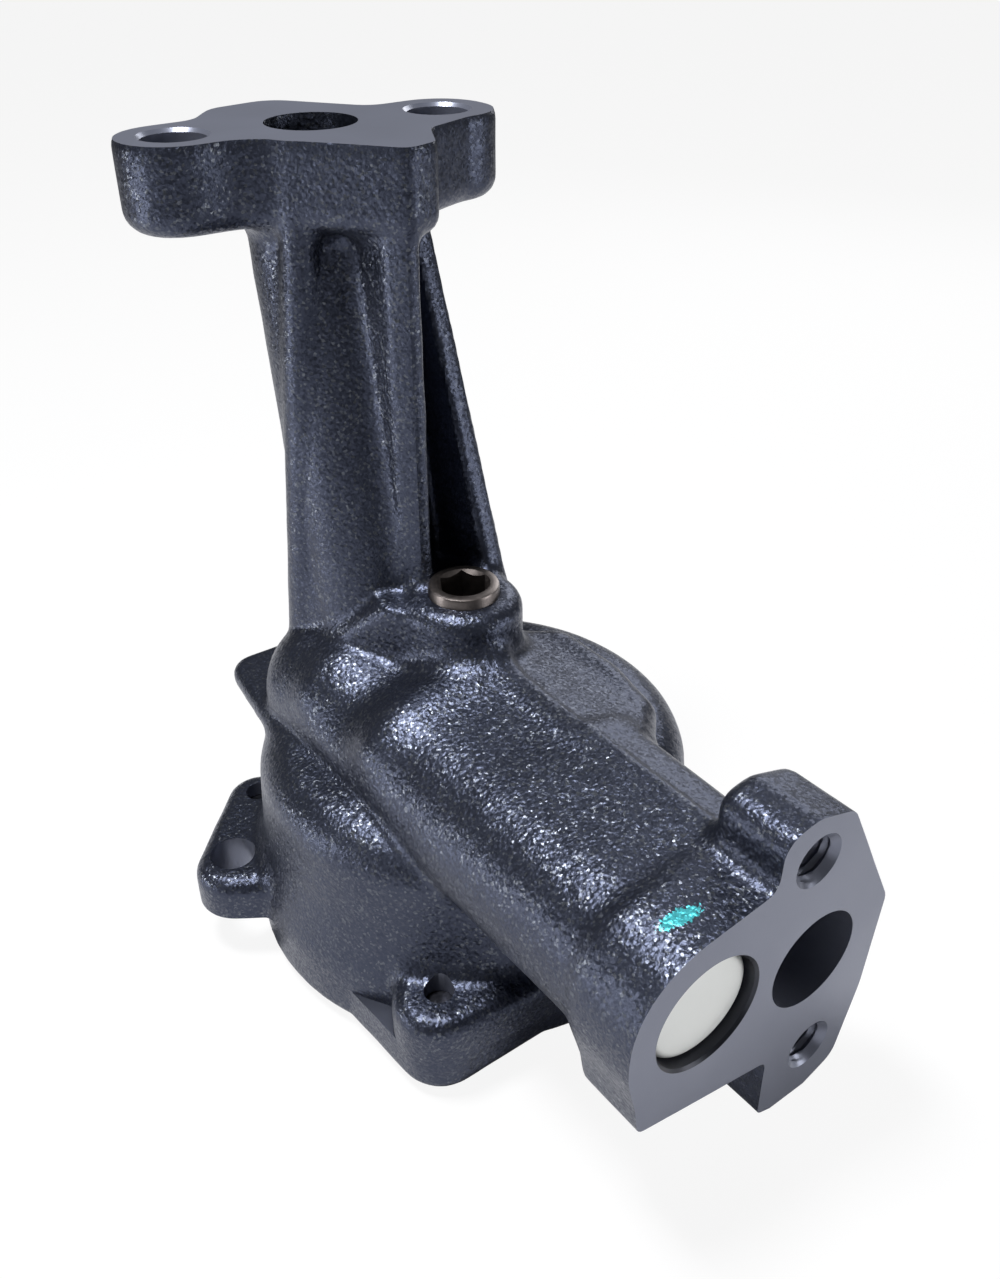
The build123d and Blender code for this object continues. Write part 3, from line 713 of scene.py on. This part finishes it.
def maths(tree, operation, *values, **settings):
    """A sum, a product or the like of numbers: values and nodes' outputs in the order of its inputs."""
    return add_node(
        tree, "ShaderNodeMath", dict(enumerate(values)), operation=operation, **settings).outputs[0]


def vector_maths(tree, operation, *values):
    """The same of vectors."""
    return add_node(tree, "ShaderNodeVectorMath", dict(enumerate(values)), operation=operation).outputs[0]


def noise(tree, place, size, detail, **inputs):
    """Noise from 0 to 1 whose marks are that many mm across."""
    inputs = {"Vector": place, "Scale": per_mm(size), "Detail": detail, **inputs}
    return add_node(tree, "ShaderNodeTexNoise", inputs).outputs["Fac"]


def ranged(tree, value, source, target, **settings):
    """A value carried over from one range, (low, high), to another."""
    inputs = {"Value": value}
    for name, (low, high) in (("From", source), ("To", target)):
        inputs.update({f"{name} Min": low, f"{name} Max": high})
    return add_node(tree, "ShaderNodeMapRange", inputs, **settings).outputs[0]


def mixed(tree, share, first, second):
    """Two colours in shares."""
    return add_node(tree, "ShaderNodeMix", {0: share, 6: first, 7: second}, data_type="RGBA").outputs[2]


def bumped(tree, height, strength, distance):
    """The surface's direction over a relief."""
    inputs = {"Height": height, "Strength": strength, "Distance": distance}
    return add_node(tree, "ShaderNodeBump", inputs).outputs[0]


def metal(tree, colour, metallic, roughness, normal):
    """A shader for iron and steel."""
    return add_node(tree, "ShaderNodeBsdfPrincipled", {
        "Base Color": colour, "Metallic": metallic, "Roughness": roughness, "Normal": normal})


def new_material(name):
    made = bpy.data.materials.new(name)
    made.use_nodes = True
    made.node_tree.nodes.clear()
    return made, made.node_tree


def close_material(tree, shader):
    add_node(tree, "ShaderNodeOutputMaterial", {"Surface": shader.outputs[0]})


def sand_cast_iron(name, settings, coarse, dab=False):
    """Grey iron as it leaves a sand mould, shot-blasted and oiled: a dark blue-grey skin of grains about
    half a millimetre wide, on which single grains glint under the lamps. Some grains also get a lighter
    colour painted on as a glint, which is a painted highlight. The side cast in the finer half of the mould
    is smoother and has fewer painted glints."""
    made, tree = new_material(name)
    place = add_node(tree, "ShaderNodeTexCoord").outputs["Object"]
    grain = noise(tree, place, settings.grain_size / MM, 3.0, Roughness=0.62)
    pits = add_node(tree, "ShaderNodeTexVoronoi", {
        "Vector": place, "Scale": 1 / (settings.grain_size * 1.3)}, feature="SMOOTH_F1")
    waves = noise(tree, place, 5.5, 2.0)
    cloud = noise(tree, place, 24.0, 3.0)
    axes = add_node(tree, "ShaderNodeSeparateXYZ", {"Vector": place})
    rough_half = ranged(
        tree, axes.outputs["Y"], (2.5 * MM, 9.0 * MM), (coarse, coarse * 0.35),
        interpolation_type="SMOOTHSTEP")

    height = maths(tree, "ADD", grain, pits.outputs["Distance"])
    height = maths(tree, "MULTIPLY", height, rough_half)
    height = maths(tree, "MULTIPLY_ADD", waves, 0.5, height)
    relief = bumped(tree, height, 1.0, settings.grain_height)

    skin = mixed(tree, cloud, settings.cast_dark, settings.cast_light)
    # Each flake is a grain face that leans its own way, so that lamps glint on some and not on others.
    flakes = add_node(tree, "ShaderNodeTexVoronoi", {"Vector": place, "Scale": 1 / settings.flake_size})
    lean = vector_maths(tree, "SUBTRACT", flakes.outputs["Color"], (0.5, 0.5, 0.5))
    lean = vector_maths(tree, "MULTIPLY", lean, [settings.flake_lean] * 3)
    facets = vector_maths(tree, "NORMALIZE", vector_maths(tree, "ADD", relief, lean))
    chance = add_node(tree, "ShaderNodeSeparateXYZ", {"Vector": flakes.outputs["Color"]})
    # Painted highlight: random grain faces get a lighter colour as glints, fewer on the finer half. These
    # faces are also glossier.
    painted_glint_and_gloss = ranged(tree, chance.outputs["X"], (0.80, 0.98), (0.0, 1.0))
    painted_glint_and_gloss = maths(tree, "MULTIPLY", painted_glint_and_gloss, rough_half, use_clamp=True)
    colour = mixed(tree, painted_glint_and_gloss, skin, settings.cast_painted_glint)
    if dab:
        colour = paint_dab(tree, place, grain, colour, settings.paint)
    shine = ranged(tree, painted_glint_and_gloss, (0.0, 1.0), (0.37, 0.28))
    close_material(tree, metal(tree, colour, 0.9, shine, facets))
    return made


def paint_dab(tree, place, grain, skin, paint):
    """A short smear of inspection paint on top of the arm, worn off the tips of the grain."""
    centre, half_length, half_width, half_height = (104.2, -10.7, -85.2), 3.4, 1.3, 5.0
    local = vector_maths(tree, "SUBTRACT", place, [c * MM for c in centre])
    local = add_node(tree, "ShaderNodeVectorRotate", {
        "Vector": local, "Angle": -math.radians(78)}, rotation_type="Z_AXIS").outputs[0]
    shrink = [per_mm(size) for size in (half_length, half_width, half_height)]
    local = vector_maths(tree, "MULTIPLY", local, shrink)
    reach = add_node(tree, "ShaderNodeVectorMath", {0: local}, operation="LENGTH")
    worn = maths(tree, "MULTIPLY_ADD", grain, -1.6, reach.outputs["Value"])
    return mixed(tree, ranged(tree, worn, (0.10, 0.22), (0.85, 0.0)), skin, paint)


def machined_iron(name, colour, spacing):
    """Grey iron cut by a mill or a drill: an even mid-grey with faint tool marks, drawn coarser than
    real ones so that they show. The iron's graphite keeps it duller than steel, so it is only half
    metallic."""
    made, tree = new_material(name)
    place = add_node(tree, "ShaderNodeTexCoord").outputs["Object"]
    relief = bumped(tree, noise(tree, place, spacing, 4.0), 0.35, 0.03 * MM)
    shine = ranged(tree, noise(tree, place, 16.0, 2.0), (0.3, 0.7), (0.28, 0.36))
    close_material(tree, metal(tree, colour, 0.55, shine, relief))
    return made


def plain_steel(name, colour, roughness, metallic=1.0, spacing=0.8):
    """Turned, ground or pressed steel: the colour of its finish, with a faint grain, drawn coarser
    than the real one so that it shows."""
    made, tree = new_material(name)
    place = add_node(tree, "ShaderNodeTexCoord").outputs["Object"]
    grain = noise(tree, place, spacing, 3.0)
    shine = ranged(tree, grain, (0.3, 0.7), (roughness - 0.06, roughness + 0.06))
    close_material(tree, metal(tree, colour, metallic, shine, bumped(tree, grain, 0.3, 0.03 * MM)))
    return made


# ================================================================ settings
LENGTH = {"unit": "LENGTH", "subtype": "DISTANCE", "min": 0.0, "precision": 5}
COLOUR = {"subtype": "COLOR", "size": 4, "min": 0.0, "max": 1.0}


class PumpSettings(bpy.types.PropertyGroup):
    """Sizes, colours and light that a user would change"""
    cell: bpy.props.FloatProperty(
        name="Casting cell", description="Grid cell of the housing casting", default=0.8 * MM, **LENGTH)
    wall_sink: bpy.props.FloatProperty(
        name="Wall sink", description="How far the column's front wall is sunk", default=3.6 * MM, **LENGTH)
    under_flange: bpy.props.FloatProperty(
        name="Flange fillet", description="Mounting flange to column", default=3.6 * MM, **LENGTH)
    boss: bpy.props.FloatProperty(
        name="Boss fillet", description="Front of the shaft boss", default=4.0 * MM, **LENGTH)
    arm: bpy.props.FloatProperty(
        name="Arm fillet", description="Arm to pump body", default=1.5 * MM, **LENGTH)
    collar: bpy.props.FloatProperty(
        name="Collar fillet", description="Collar round the column's foot", default=1.2 * MM, **LENGTH)
    pickup: bpy.props.FloatProperty(
        name="Pickup fillet", description="Arm to pickup flange", default=3.0 * MM, **LENGTH)
    column_foot: bpy.props.FloatProperty(
        name="Column foot fillet", description="Column to arm", default=2.6 * MM, **LENGTH)
    grain_size: bpy.props.FloatProperty(
        name="Grain size", description="Width of a sand grain", default=0.55 * MM, **LENGTH)
    grain_height: bpy.props.FloatProperty(
        name="Grain height", description="Relief of the sand grain", default=0.10 * MM, **LENGTH)
    flake_size: bpy.props.FloatProperty(
        name="Flake size", description="Width of a glinting grain face", default=0.42 * MM, **LENGTH)
    flake_lean: bpy.props.FloatProperty(
        name="Flake lean", description="How far the grain faces lean", default=0.24,
        min=0.0, max=1.0, subtype="FACTOR")
    cast_dark: bpy.props.FloatVectorProperty(
        name="Casting, dark", description="Darker patches", default=linear("#363A48"), **COLOUR)
    cast_light: bpy.props.FloatVectorProperty(
        name="Casting, light", description="Lighter patches", default=linear("#444958"), **COLOUR)
    # Painted highlight: the colour painted on random grain faces as glints.
    cast_painted_glint: bpy.props.FloatVectorProperty(
        name="Casting, glints", description="Tips of the sand grain", default=linear("#5C6068"), **COLOUR)
    machined: bpy.props.FloatVectorProperty(
        name="Machined faces", description="Milled faces and bores", default=linear("#747887"), **COLOUR)
    paint: bpy.props.FloatVectorProperty(
        name="Inspection paint", description="Smear on the arm", default=linear("#4FC3CC"), **COLOUR)
    plug: bpy.props.FloatVectorProperty(
        name="Cup plug", description="Zinc plate of the plug", default=linear("#E9EBE8"), **COLOUR)
    shaft: bpy.props.FloatVectorProperty(
        name="Shaft", description="Ground steel of the shaft", default=linear("#6E6866"), **COLOUR)
    surroundings: bpy.props.FloatProperty(
        name="Surroundings", description="Strength of the light from all round", default=0.12, min=0.0)


def settings_of(context):
    return context.scene.oil_pump


# ================================================================ holes in the housing
def inlet_bore():
    """The inlet, drilled from the pickup face, with the drill's cone at its end."""
    return turned([
        (0, INLET_END_X - 4.4), (INLET_RADIUS, INLET_END_X), (INLET_RADIUS, FACE_X + 1),
        (0, FACE_X + 1)], INLET, "X")


def valve_bore():
    """The relief valve's bore, with the step on which the piston rests."""
    end = PLUG_INNER_X + 0.2
    return turned([
        (0, GALLERY_X), (SEAT_RADIUS, GALLERY_X), (SEAT_RADIUS, SEAT_X), (VALVE_RADIUS, SEAT_X),
        (VALVE_RADIUS, end), (0, end)], RELIEF, "X")


def plug_recess():
    """The cup plug's seat, chamfered at the pickup face."""
    radius = PLUG_RADIUS + 0.025
    return turned([
        (0, PLUG_INNER_X), (radius, PLUG_INNER_X), (radius, FACE_X - 0.45), (10.45, FACE_X + 0.5),
        (0, FACE_X + 0.5)], RELIEF, "X", 96)


def mounting_hole(at):
    """A mounting bolt's hole, chamfered at its mouth."""
    below, chamfer, over = -FLANGE_THICK - 1.2, 0.58, 0.92
    return turned([
        (0, below), (MOUNT_RADIUS, below), (MOUNT_RADIUS, -chamfer), (MOUNT_RADIUS + chamfer + over, over),
        (0, over)], at)


def pickup_hole(at):
    """A tapped and countersunk hole in the pickup face."""
    places, faces = tapped_hole(TAP_RADIUS, TAP_DEPTH, pitch=1.41, thread=0.66, lead_in=1.3)
    return laid(places + np.array([0, 0, FACE_X - TAP_DEPTH]), at, "X"), faces


def outlet_passage():
    """The cored passage up the column, whose axis runs on above the flange."""
    ring = ring_at(polygon((0, 0), OUTLET_RADIUS, 64), 0)
    return loft(ring + np.array(OUTLET_FOOT), ring + np.array([-1.6, 0.07, 13.8]))


# ================================================================ the pieces
class PUMP_OT_housing(bpy.types.Operator):
    """Cast and machine the pump housing"""
    bl_idname = "oil_pump.housing"
    bl_label = "Housing casting"

    def execute(self, context):
        settings = settings_of(context)
        grid = Grid((-23, -47, -138), (113, 53, 3), settings.cell / MM)
        field = housing_field(grid, settings)
        rough_half = 1 - 0.6 * smooth_step(2.0, 9.0, grid.plan_y)
        field += (0.10 * lumps(grid, 6.0, 11) + 0.02 * lumps(grid, 2.4, 12)) * rough_half[:, :, None]
        places, faces = surface(field, grid)
        places = settle(places, faces, field, grid, 5)
        made = mesh_object("housing_casting", places, faces)
        cast = sand_cast_iron("sand_cast_grey_iron", settings, 1.0, dab=True)
        face = machined_iron("milled_grey_iron", settings.machined, 0.5)
        bore = machined_iron("bored_grey_iron", settings.machined, 0.8)
        # Painted shade: the cup plug's seat is given a dark colour where the recess round the plug lies in
        # shade.
        painted_recess_shade = machined_iron("oil_stained_iron", linear("#2B2D36"), 0.8)
        made.data.materials.append(cast)
        most_triangles = 172000
        shrink = made.modifiers.new("thin", "DECIMATE")
        shrink.ratio = min(1.0, most_triangles / (2 * len(faces)))
        finished(made)

        cut(made, tool("envelope", [joint_block(JOINT, 0)], face), "INTERSECT")
        chamber_at = (SHAFT[0], SHAFT[1] + ROTOR_OFFSET)
        chamber = drill(CHAMBER_RADIUS, JOINT - 1, CHAMBER_ROOF, chamber_at, steps=96)
        brace = drill(BRACE_RADIUS, JOINT - 1, LUG_TOP, BRACE)
        mounts = [mounting_hole(at) for at in MOUNT_BOLTS]
        taps = [pickup_hole(at) for at in PICKUP_BOLTS]
        threads = [drill(SCREW_THREAD, JOINT - 1, THREAD_TOP, at, steps=32) for at in SCREWS]
        bores = [chamber, inlet_bore(), valve_bore(), brace, *mounts, *taps, *threads]
        cut(made, tool("bores", bores, bore))
        screw_drills = [drill(SCREW_DRILL, THREAD_TOP, LUG_TOP, at, steps=32) for at in SCREWS]
        shaft_bore = drill(SHAFT_RADIUS + SHAFT_CLEARANCE, CHAMBER_ROOF - 0.8, BOSS_TOP + 2.5, SHAFT)
        cut(made, tool("passages", [shaft_bore, *screw_drills], bore))
        cut(made, tool("outlet", [outlet_passage()], cast))
        cut(made, tool("plug_seat", [plug_recess()], painted_recess_shade))
        smooth_shaded(made)
        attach(made, "housing")
        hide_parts("pump_housing")
        return {"FINISHED"}


class PUMP_OT_cover(bpy.types.Operator):
    """Cast and grind the cover plate"""
    bl_idname = "oil_pump.cover"
    bl_label = "Cover plate"

    def execute(self, context):
        settings = settings_of(context)
        grid = Grid((-13.5, -37.5, -143), (77, 51.5, -132), 0.7)
        field = cover_field(grid) + 0.05 * lumps(grid, 3.0, 21)
        places, faces = surface(field, grid)
        places = settle(places, faces, field, grid, 4)
        made = mesh_object("cover_casting", places, faces)
        made.data.materials.append(sand_cast_iron("sand_cast_iron_cover", settings, 0.7))
        face = machined_iron("ground_grey_iron", settings.machined, 0.4)
        # Painted shade: the joint face, seen only as a ledge in the crevice under the housing, is given a
        # dark colour.
        joint = machined_iron("oil_stained_joint_face", linear("#3A3D48"), 0.4)
        cut(made, tool("envelope", [joint_block(COVER_BOTTOM - 1, JOINT)], joint), "INTERSECT")
        holes = [drill(SCREW_CLEARANCE, COVER_BOTTOM - 2, JOINT + 1, at, steps=40) for at in SCREWS]
        cut(made, tool("holes", holes, face))
        smooth_shaded(made)
        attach(made, "housing")
        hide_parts("cover_plate")
        return {"FINISHED"}


def finish_node(name, material):
    """Gives a CAD node, whose shape stays, its material."""
    NODES[name].data.materials.clear()
    NODES[name].data.materials.append(material)


class PUMP_OT_drive(bpy.types.Operator):
    """Turn the drive shaft with its hexagonal socket, and finish the rotors"""
    bl_idname = "oil_pump.drive"
    bl_label = "Drive shaft and rotors"

    def execute(self, context):
        steel = plain_steel("ground_carbon_steel", settings_of(context).shaft, 0.36)
        radius, top, bottom, edge = SHAFT_RADIUS, SHAFT_TOP, SHAFT_END, 0.6
        places, faces = turned([
            (0, bottom), (radius - edge, bottom), (radius, bottom + edge), (radius, top - edge),
            (radius - edge * 0.3, top - edge * 0.3), (radius - edge, top), (0, top)], SHAFT, steps=96)
        made = mesh_object("drive_shaft_turned", places, faces)
        made.data.materials.append(steel)
        socket = polygon(SHAFT, SOCKET_FLATS / math.sqrt(3), 6, math.radians(30))
        cut(made, tool("broach", [prism(socket, top - SOCKET_DEPTH, top + 1)], steel))
        low, over = top - 0.93, top + 0.05
        lead_in = turned([(0, low), (3.77, low), (4.75, over), (0, over)], SHAFT)
        cut(made, tool("lead_in", [lead_in], steel))
        smooth_shaded(made)
        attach(made, "drive")
        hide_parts("drive_shaft")
        sintered = plain_steel("sintered_steel", linear("#7C7D80"), 0.45)
        for name in ("inner_rotor", "outer_rotor"):
            finish_node(name, sintered)
        return {"FINISHED"}


# ================================================================ pieces that follow a rule
def new_geometry_tree(name, sizes):
    """A geometry tree with an input for each named size, and those inputs' outputs inside it."""
    tree = bpy.data.node_groups.new(name, "GeometryNodeTree")
    tree.interface.new_socket("Geometry", in_out="OUTPUT", socket_type="NodeSocketGeometry")
    for size in sizes:
        tree.interface.new_socket(size, in_out="INPUT", socket_type="NodeSocketFloat")
    return tree, add_node(tree, "NodeGroupInput").outputs


def close_geometry_tree(tree, geometry, material):
    real = add_node(tree, "GeometryNodeRealizeInstances", {"Geometry": geometry})
    painted = add_node(tree, "GeometryNodeSetMaterial", {"Geometry": real.outputs[0], "Material": material})
    add_node(tree, "NodeGroupOutput", {"Geometry": painted.outputs[0]})


def grown(name, tree, sizes):
    """A plain mesh object from a geometry tree, with the tree's sizes set by name."""
    made = bpy.data.objects.new(name, bpy.data.meshes.new(name))
    bpy.context.scene.collection.objects.link(made)
    step = made.modifiers.new("grow", "NODES")
    step.node_group = tree
    for socket in tree.interface.items_tree:
        if socket.in_out == "INPUT" and socket.name in sizes:
            step[socket.identifier] = sizes[socket.name]
    return finished(made)


def coil_spring(name, start, end, wire):
    """A spring of round wire wound along X between two places in the relief valve's bore."""
    sizes = {"Turns": 11.0, "Coil Radius": 3.9 * MM, "Wire Radius": 0.7 * MM, "Length": (end - start) * MM}
    tree, given = new_geometry_tree("wound_wire", sizes)
    coil = add_node(tree, "GeometryNodeCurveSpiral", {
        "Resolution": 32, "Rotations": given["Turns"], "Start Radius": given["Coil Radius"],
        "End Radius": given["Coil Radius"], "Height": given["Length"]})
    section = add_node(tree, "GeometryNodeCurvePrimitiveCircle", {
        "Resolution": 12, "Radius": given["Wire Radius"]})
    rod = add_node(tree, "GeometryNodeCurveToMesh", {
        "Curve": coil.outputs[0], "Profile Curve": section.outputs[0], "Fill Caps": True})
    along = add_node(tree, "GeometryNodeTransform", {
        "Geometry": rod.outputs[0], "Rotation": (0, math.pi / 2, 0),
        "Translation": (start * MM, RELIEF[0] * MM, RELIEF[1] * MM)})
    close_geometry_tree(tree, along.outputs[0], wire)
    return grown(name, tree, sizes)


def flanged_screw():
    """The pattern of a cover screw on the Z axis: shank, flange and six-sided head."""
    seat, head_end, shank_end, shank, flange = COVER_BOTTOM, -144.69, -129.6, 3.17, 6.4
    body, body_faces = turned([
        (0, seat - 0.8), (flange - 0.3, seat - 0.8), (flange, seat - 0.5), (flange, seat), (shank, seat),
        (shank, shank_end - 0.5), (2.7, shank_end), (0, shank_end)], (0, 0), steps=48)
    hexagon = polygon((0, 0), 9.5 / math.sqrt(3), 6)
    head, head_faces = loft(ring_at(hexagon * 0.93, head_end), ring_at(hexagon, head_end + 0.4))
    grip, grip_faces = prism(hexagon, head_end + 0.4, seat - 0.3)
    faces = [body_faces, head_faces + len(body), grip_faces + len(body) + len(head)]
    return mesh_object("screw_pattern", np.concatenate([body, head, grip]), np.concatenate(faces))


class PUMP_OT_screws(bpy.types.Operator):
    """Set the four flanged screws that hold the cover"""
    bl_idname = "oil_pump.screws"
    bl_label = "Cover screws"

    def execute(self, context):
        oxide = plain_steel("black_oxide_steel", linear("#3A3B42"), 0.38)
        pattern = smooth_shaded(flanged_screw())
        sizes = {
            "Spread X": SCREW_SPREAD[0] * MM, "Spread Y": SCREW_SPREAD[1] * MM,
            "Centre X": SHAFT[0] * MM, "Centre Y": SHAFT[1] * MM,
        }
        tree, given = new_geometry_tree("screws_at_corners", sizes)
        corners = add_node(tree, "GeometryNodeMeshGrid", {
            "Size X": given["Spread X"], "Size Y": given["Spread Y"], "Vertices X": 2, "Vertices Y": 2})
        centre = add_node(tree, "ShaderNodeCombineXYZ", {"X": given["Centre X"], "Y": given["Centre Y"]})
        moved = add_node(tree, "GeometryNodeTransform", {
            "Geometry": corners.outputs["Mesh"], "Translation": centre.outputs[0]})
        turns = add_node(tree, "FunctionNodeRandomValue", {
            2: 0.0, 3: math.tau, "Seed": 5}, data_type="FLOAT")
        turned_by = add_node(tree, "ShaderNodeCombineXYZ", {"Z": turns.outputs[1]})
        screw = add_node(tree, "GeometryNodeObjectInfo", {"Object": pattern})
        placed = add_node(tree, "GeometryNodeInstanceOnPoints", {
            "Points": moved.outputs[0], "Instance": screw.outputs["Geometry"],
            "Rotation": turned_by.outputs[0]})
        close_geometry_tree(tree, placed.outputs[0], oxide)
        made = grown("cover_flange_screws", tree, sizes)
        remove(pattern)
        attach(made, "housing")
        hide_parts("cover_screws")
        return {"FINISHED"}


class PUMP_OT_relief_valve(bpy.types.Operator):
    """Press in the cup plug, wind the spring and finish the piston"""
    bl_idname = "oil_pump.relief_valve"
    bl_label = "Relief valve"

    def execute(self, context):
        plated = plain_steel(
            "dull_zinc_plated_steel", settings_of(context).plug, 0.42, metallic=0.15, spacing=1.2)
        bend, wall = 1.6, 1.5
        rim = [
            (PLUG_RADIUS - bend + bend * math.cos(turn), PLUG_FACE_X - bend + bend * math.sin(turn))
            for turn in np.linspace(0, math.pi / 2, 9)
        ]
        places, faces = turned([
            (0, PLUG_FACE_X - wall), (PLUG_RADIUS - wall, PLUG_FACE_X - wall),
            (PLUG_RADIUS - wall, PLUG_INNER_X + 0.05), (PLUG_RADIUS, PLUG_INNER_X + 0.05), *rim,
            (4.0, PLUG_FACE_X), (0, PLUG_FACE_X)], RELIEF, "X", 96)
        made = mesh_object("cup_plug", places, faces)
        made.data.materials.append(plated)
        smooth_shaded(made, 40)
        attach(made, "housing")
        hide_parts("relief_plug")
        finish_node("relief_piston", plain_steel("hardened_ground_steel", linear("#8C8D90"), 0.25))
        start, end = 40.75, 106.05
        spring = coil_spring(
            "relief_coil_spring", start, end, plain_steel("oil_tempered_wire", linear("#77736E"), 0.35))
        smooth_shaded(spring, 60)
        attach(spring, "housing")
        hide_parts("relief_spring")
        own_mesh(spring)
        return {"FINISHED"}


# ================================================================ the stage
CAMERA_PLACE = (184.65, -100.46, 38.19)
CAMERA_TILT, CAMERA_TURN, CAMERA_ROLL = 56.73, 53.395, -0.35
CAMERA_LENS, CAMERA_SENSOR = 34.68, 36.0
LAMP_AIM = (0.04, 0, -0.07)
# Small lamps leave most of the dark iron in shade: name, place in m, width in m and power in W.
LAMPS = (
    ("overhead", (-0.02, -0.15, 0.48), 0.12, 4.8),
    ("behind", (-0.20, 0.44, 0.17), 0.26, 0.85),
    ("left", (0.10, -0.64, 0.14), 0.10, 0.15),
    ("low_left", (-0.10, -0.34, -0.09), 0.06, 0.30),
    ("right", (0.56, 0.42, -0.03), 0.30, 1.4),
)
WHITE = (1, 1, 1, 1)


def seen_straight(tree):
    """1 for light that reaches the camera straight or through glass, 0 for the rest."""
    path = add_node(tree, "ShaderNodeLightPath").outputs
    return maths(tree, "MAXIMUM", path["Is Camera Ray"], path["Is Transmission Ray"])


def set_camera(scene):
    data = bpy.data.cameras.new("camera")
    data.lens = CAMERA_LENS
    data.sensor_width = CAMERA_SENSOR
    data.sensor_fit = "AUTO"
    data.clip_start = 0.005
    camera = bpy.data.objects.new("camera", data)
    scene.collection.objects.link(camera)
    aim = Euler((math.radians(CAMERA_TILT), 0, math.radians(CAMERA_TURN)), "XYZ").to_matrix()
    roll = Matrix.Rotation(math.radians(CAMERA_ROLL), 3, "Z")
    camera.matrix_world = Matrix.Translation(Vector(CAMERA_PLACE) * MM) @ (aim @ roll).to_4x4()
    scene.camera = camera


def set_studio(scene, strength):
    """A white background for the camera, and a dim grey one for the light on the pump."""
    world = bpy.data.worlds.new("studio")
    scene.world = world
    world.use_nodes = True
    tree = world.node_tree
    tree.nodes.clear()
    seen = seen_straight(tree)
    studio = add_node(tree, "ShaderNodeBackground", {"Color": WHITE, "Strength": strength})
    white = add_node(tree, "ShaderNodeBackground", {"Color": WHITE, "Strength": 1.0})
    both = add_node(tree, "ShaderNodeMixShader", {0: seen, 1: studio.outputs[0], 2: white.outputs[0]})
    add_node(tree, "ShaderNodeOutputWorld", {"Surface": both.outputs[0]})


def set_lamps(scene):
    for name, place, size, power in LAMPS:
        data = bpy.data.lights.new(name, "AREA")
        data.size = size
        data.energy = power
        lamp = bpy.data.objects.new(name, data)
        scene.collection.objects.link(lamp)
        lamp.location = place
        lamp.rotation_euler = (Vector(LAMP_AIM) - Vector(place)).to_track_quat("-Z", "Y").to_euler()


def lay_floor(scene):
    """A sheet of matt white paper, mostly lit by itself where the camera sees it, so that it keeps
    a soft shadow."""
    floor = bpy.data.meshes.new("floor")
    half, level = 4, CAD_BOX[0][2] - 0.0002
    corners = [(-half, -half, level), (half, -half, level), (half, half, level), (-half, half, level)]
    floor.from_pydata(corners, [], [(0, 1, 2, 3)])
    floor_object = bpy.data.objects.new("floor", floor)
    scene.collection.objects.link(floor_object)
    made, tree = new_material("white_paper_floor")
    paper = add_node(tree, "ShaderNodeBsdfDiffuse", {"Color": linear("#E8E8EA")})
    lit = add_node(tree, "ShaderNodeEmission", {"Color": WHITE, "Strength": 1.0})
    share = maths(tree, "MULTIPLY", seen_straight(tree), 0.9)
    both = add_node(tree, "ShaderNodeMixShader", {0: share, 1: paper.outputs[0], 2: lit.outputs[0]})
    close_material(tree, both)
    floor.materials.append(made)


class PUMP_OT_stage(bpy.types.Operator):
    """Set the camera, the lights and the floor"""
    bl_idname = "oil_pump.stage"
    bl_label = "Stage"

    def execute(self, context):
        scene = context.scene
        scene.view_settings.view_transform = "Standard"
        set_camera(scene)
        set_studio(scene, settings_of(context).surroundings)
        set_lamps(scene)
        lay_floor(scene)
        return {"FINISHED"}


class PUMP_PT_panel(bpy.types.Panel):
    """The pump's pieces in the order in which they are made"""
    bl_label = "Oil Pump"
    bl_idname = "PUMP_PT_panel"
    bl_space_type = "VIEW_3D"
    bl_region_type = "UI"
    bl_category = "Oil Pump"

    def draw(self, context):
        column = self.layout.column(align=True)
        for operator in OPERATORS:
            column.operator(operator.bl_idname)
        for name in PumpSettings.__annotations__:
            self.layout.prop(settings_of(context), name)


OPERATORS = (
    PUMP_OT_stage, PUMP_OT_housing, PUMP_OT_cover, PUMP_OT_screws, PUMP_OT_drive, PUMP_OT_relief_valve,
)


def register():
    for made in (PumpSettings, *OPERATORS, PUMP_PT_panel):
        bpy.utils.register_class(made)
    bpy.types.Scene.oil_pump = bpy.props.PointerProperty(type=PumpSettings)


def unregister():
    del bpy.types.Scene.oil_pump
    for made in (PUMP_PT_panel, *reversed(OPERATORS), PumpSettings):
        bpy.utils.unregister_class(made)


def main():
    register()
    for operator in OPERATORS:
        group, name = operator.bl_idname.split(".")
        getattr(getattr(bpy.ops, group), name)()


if __name__ == "__main__":
    main()
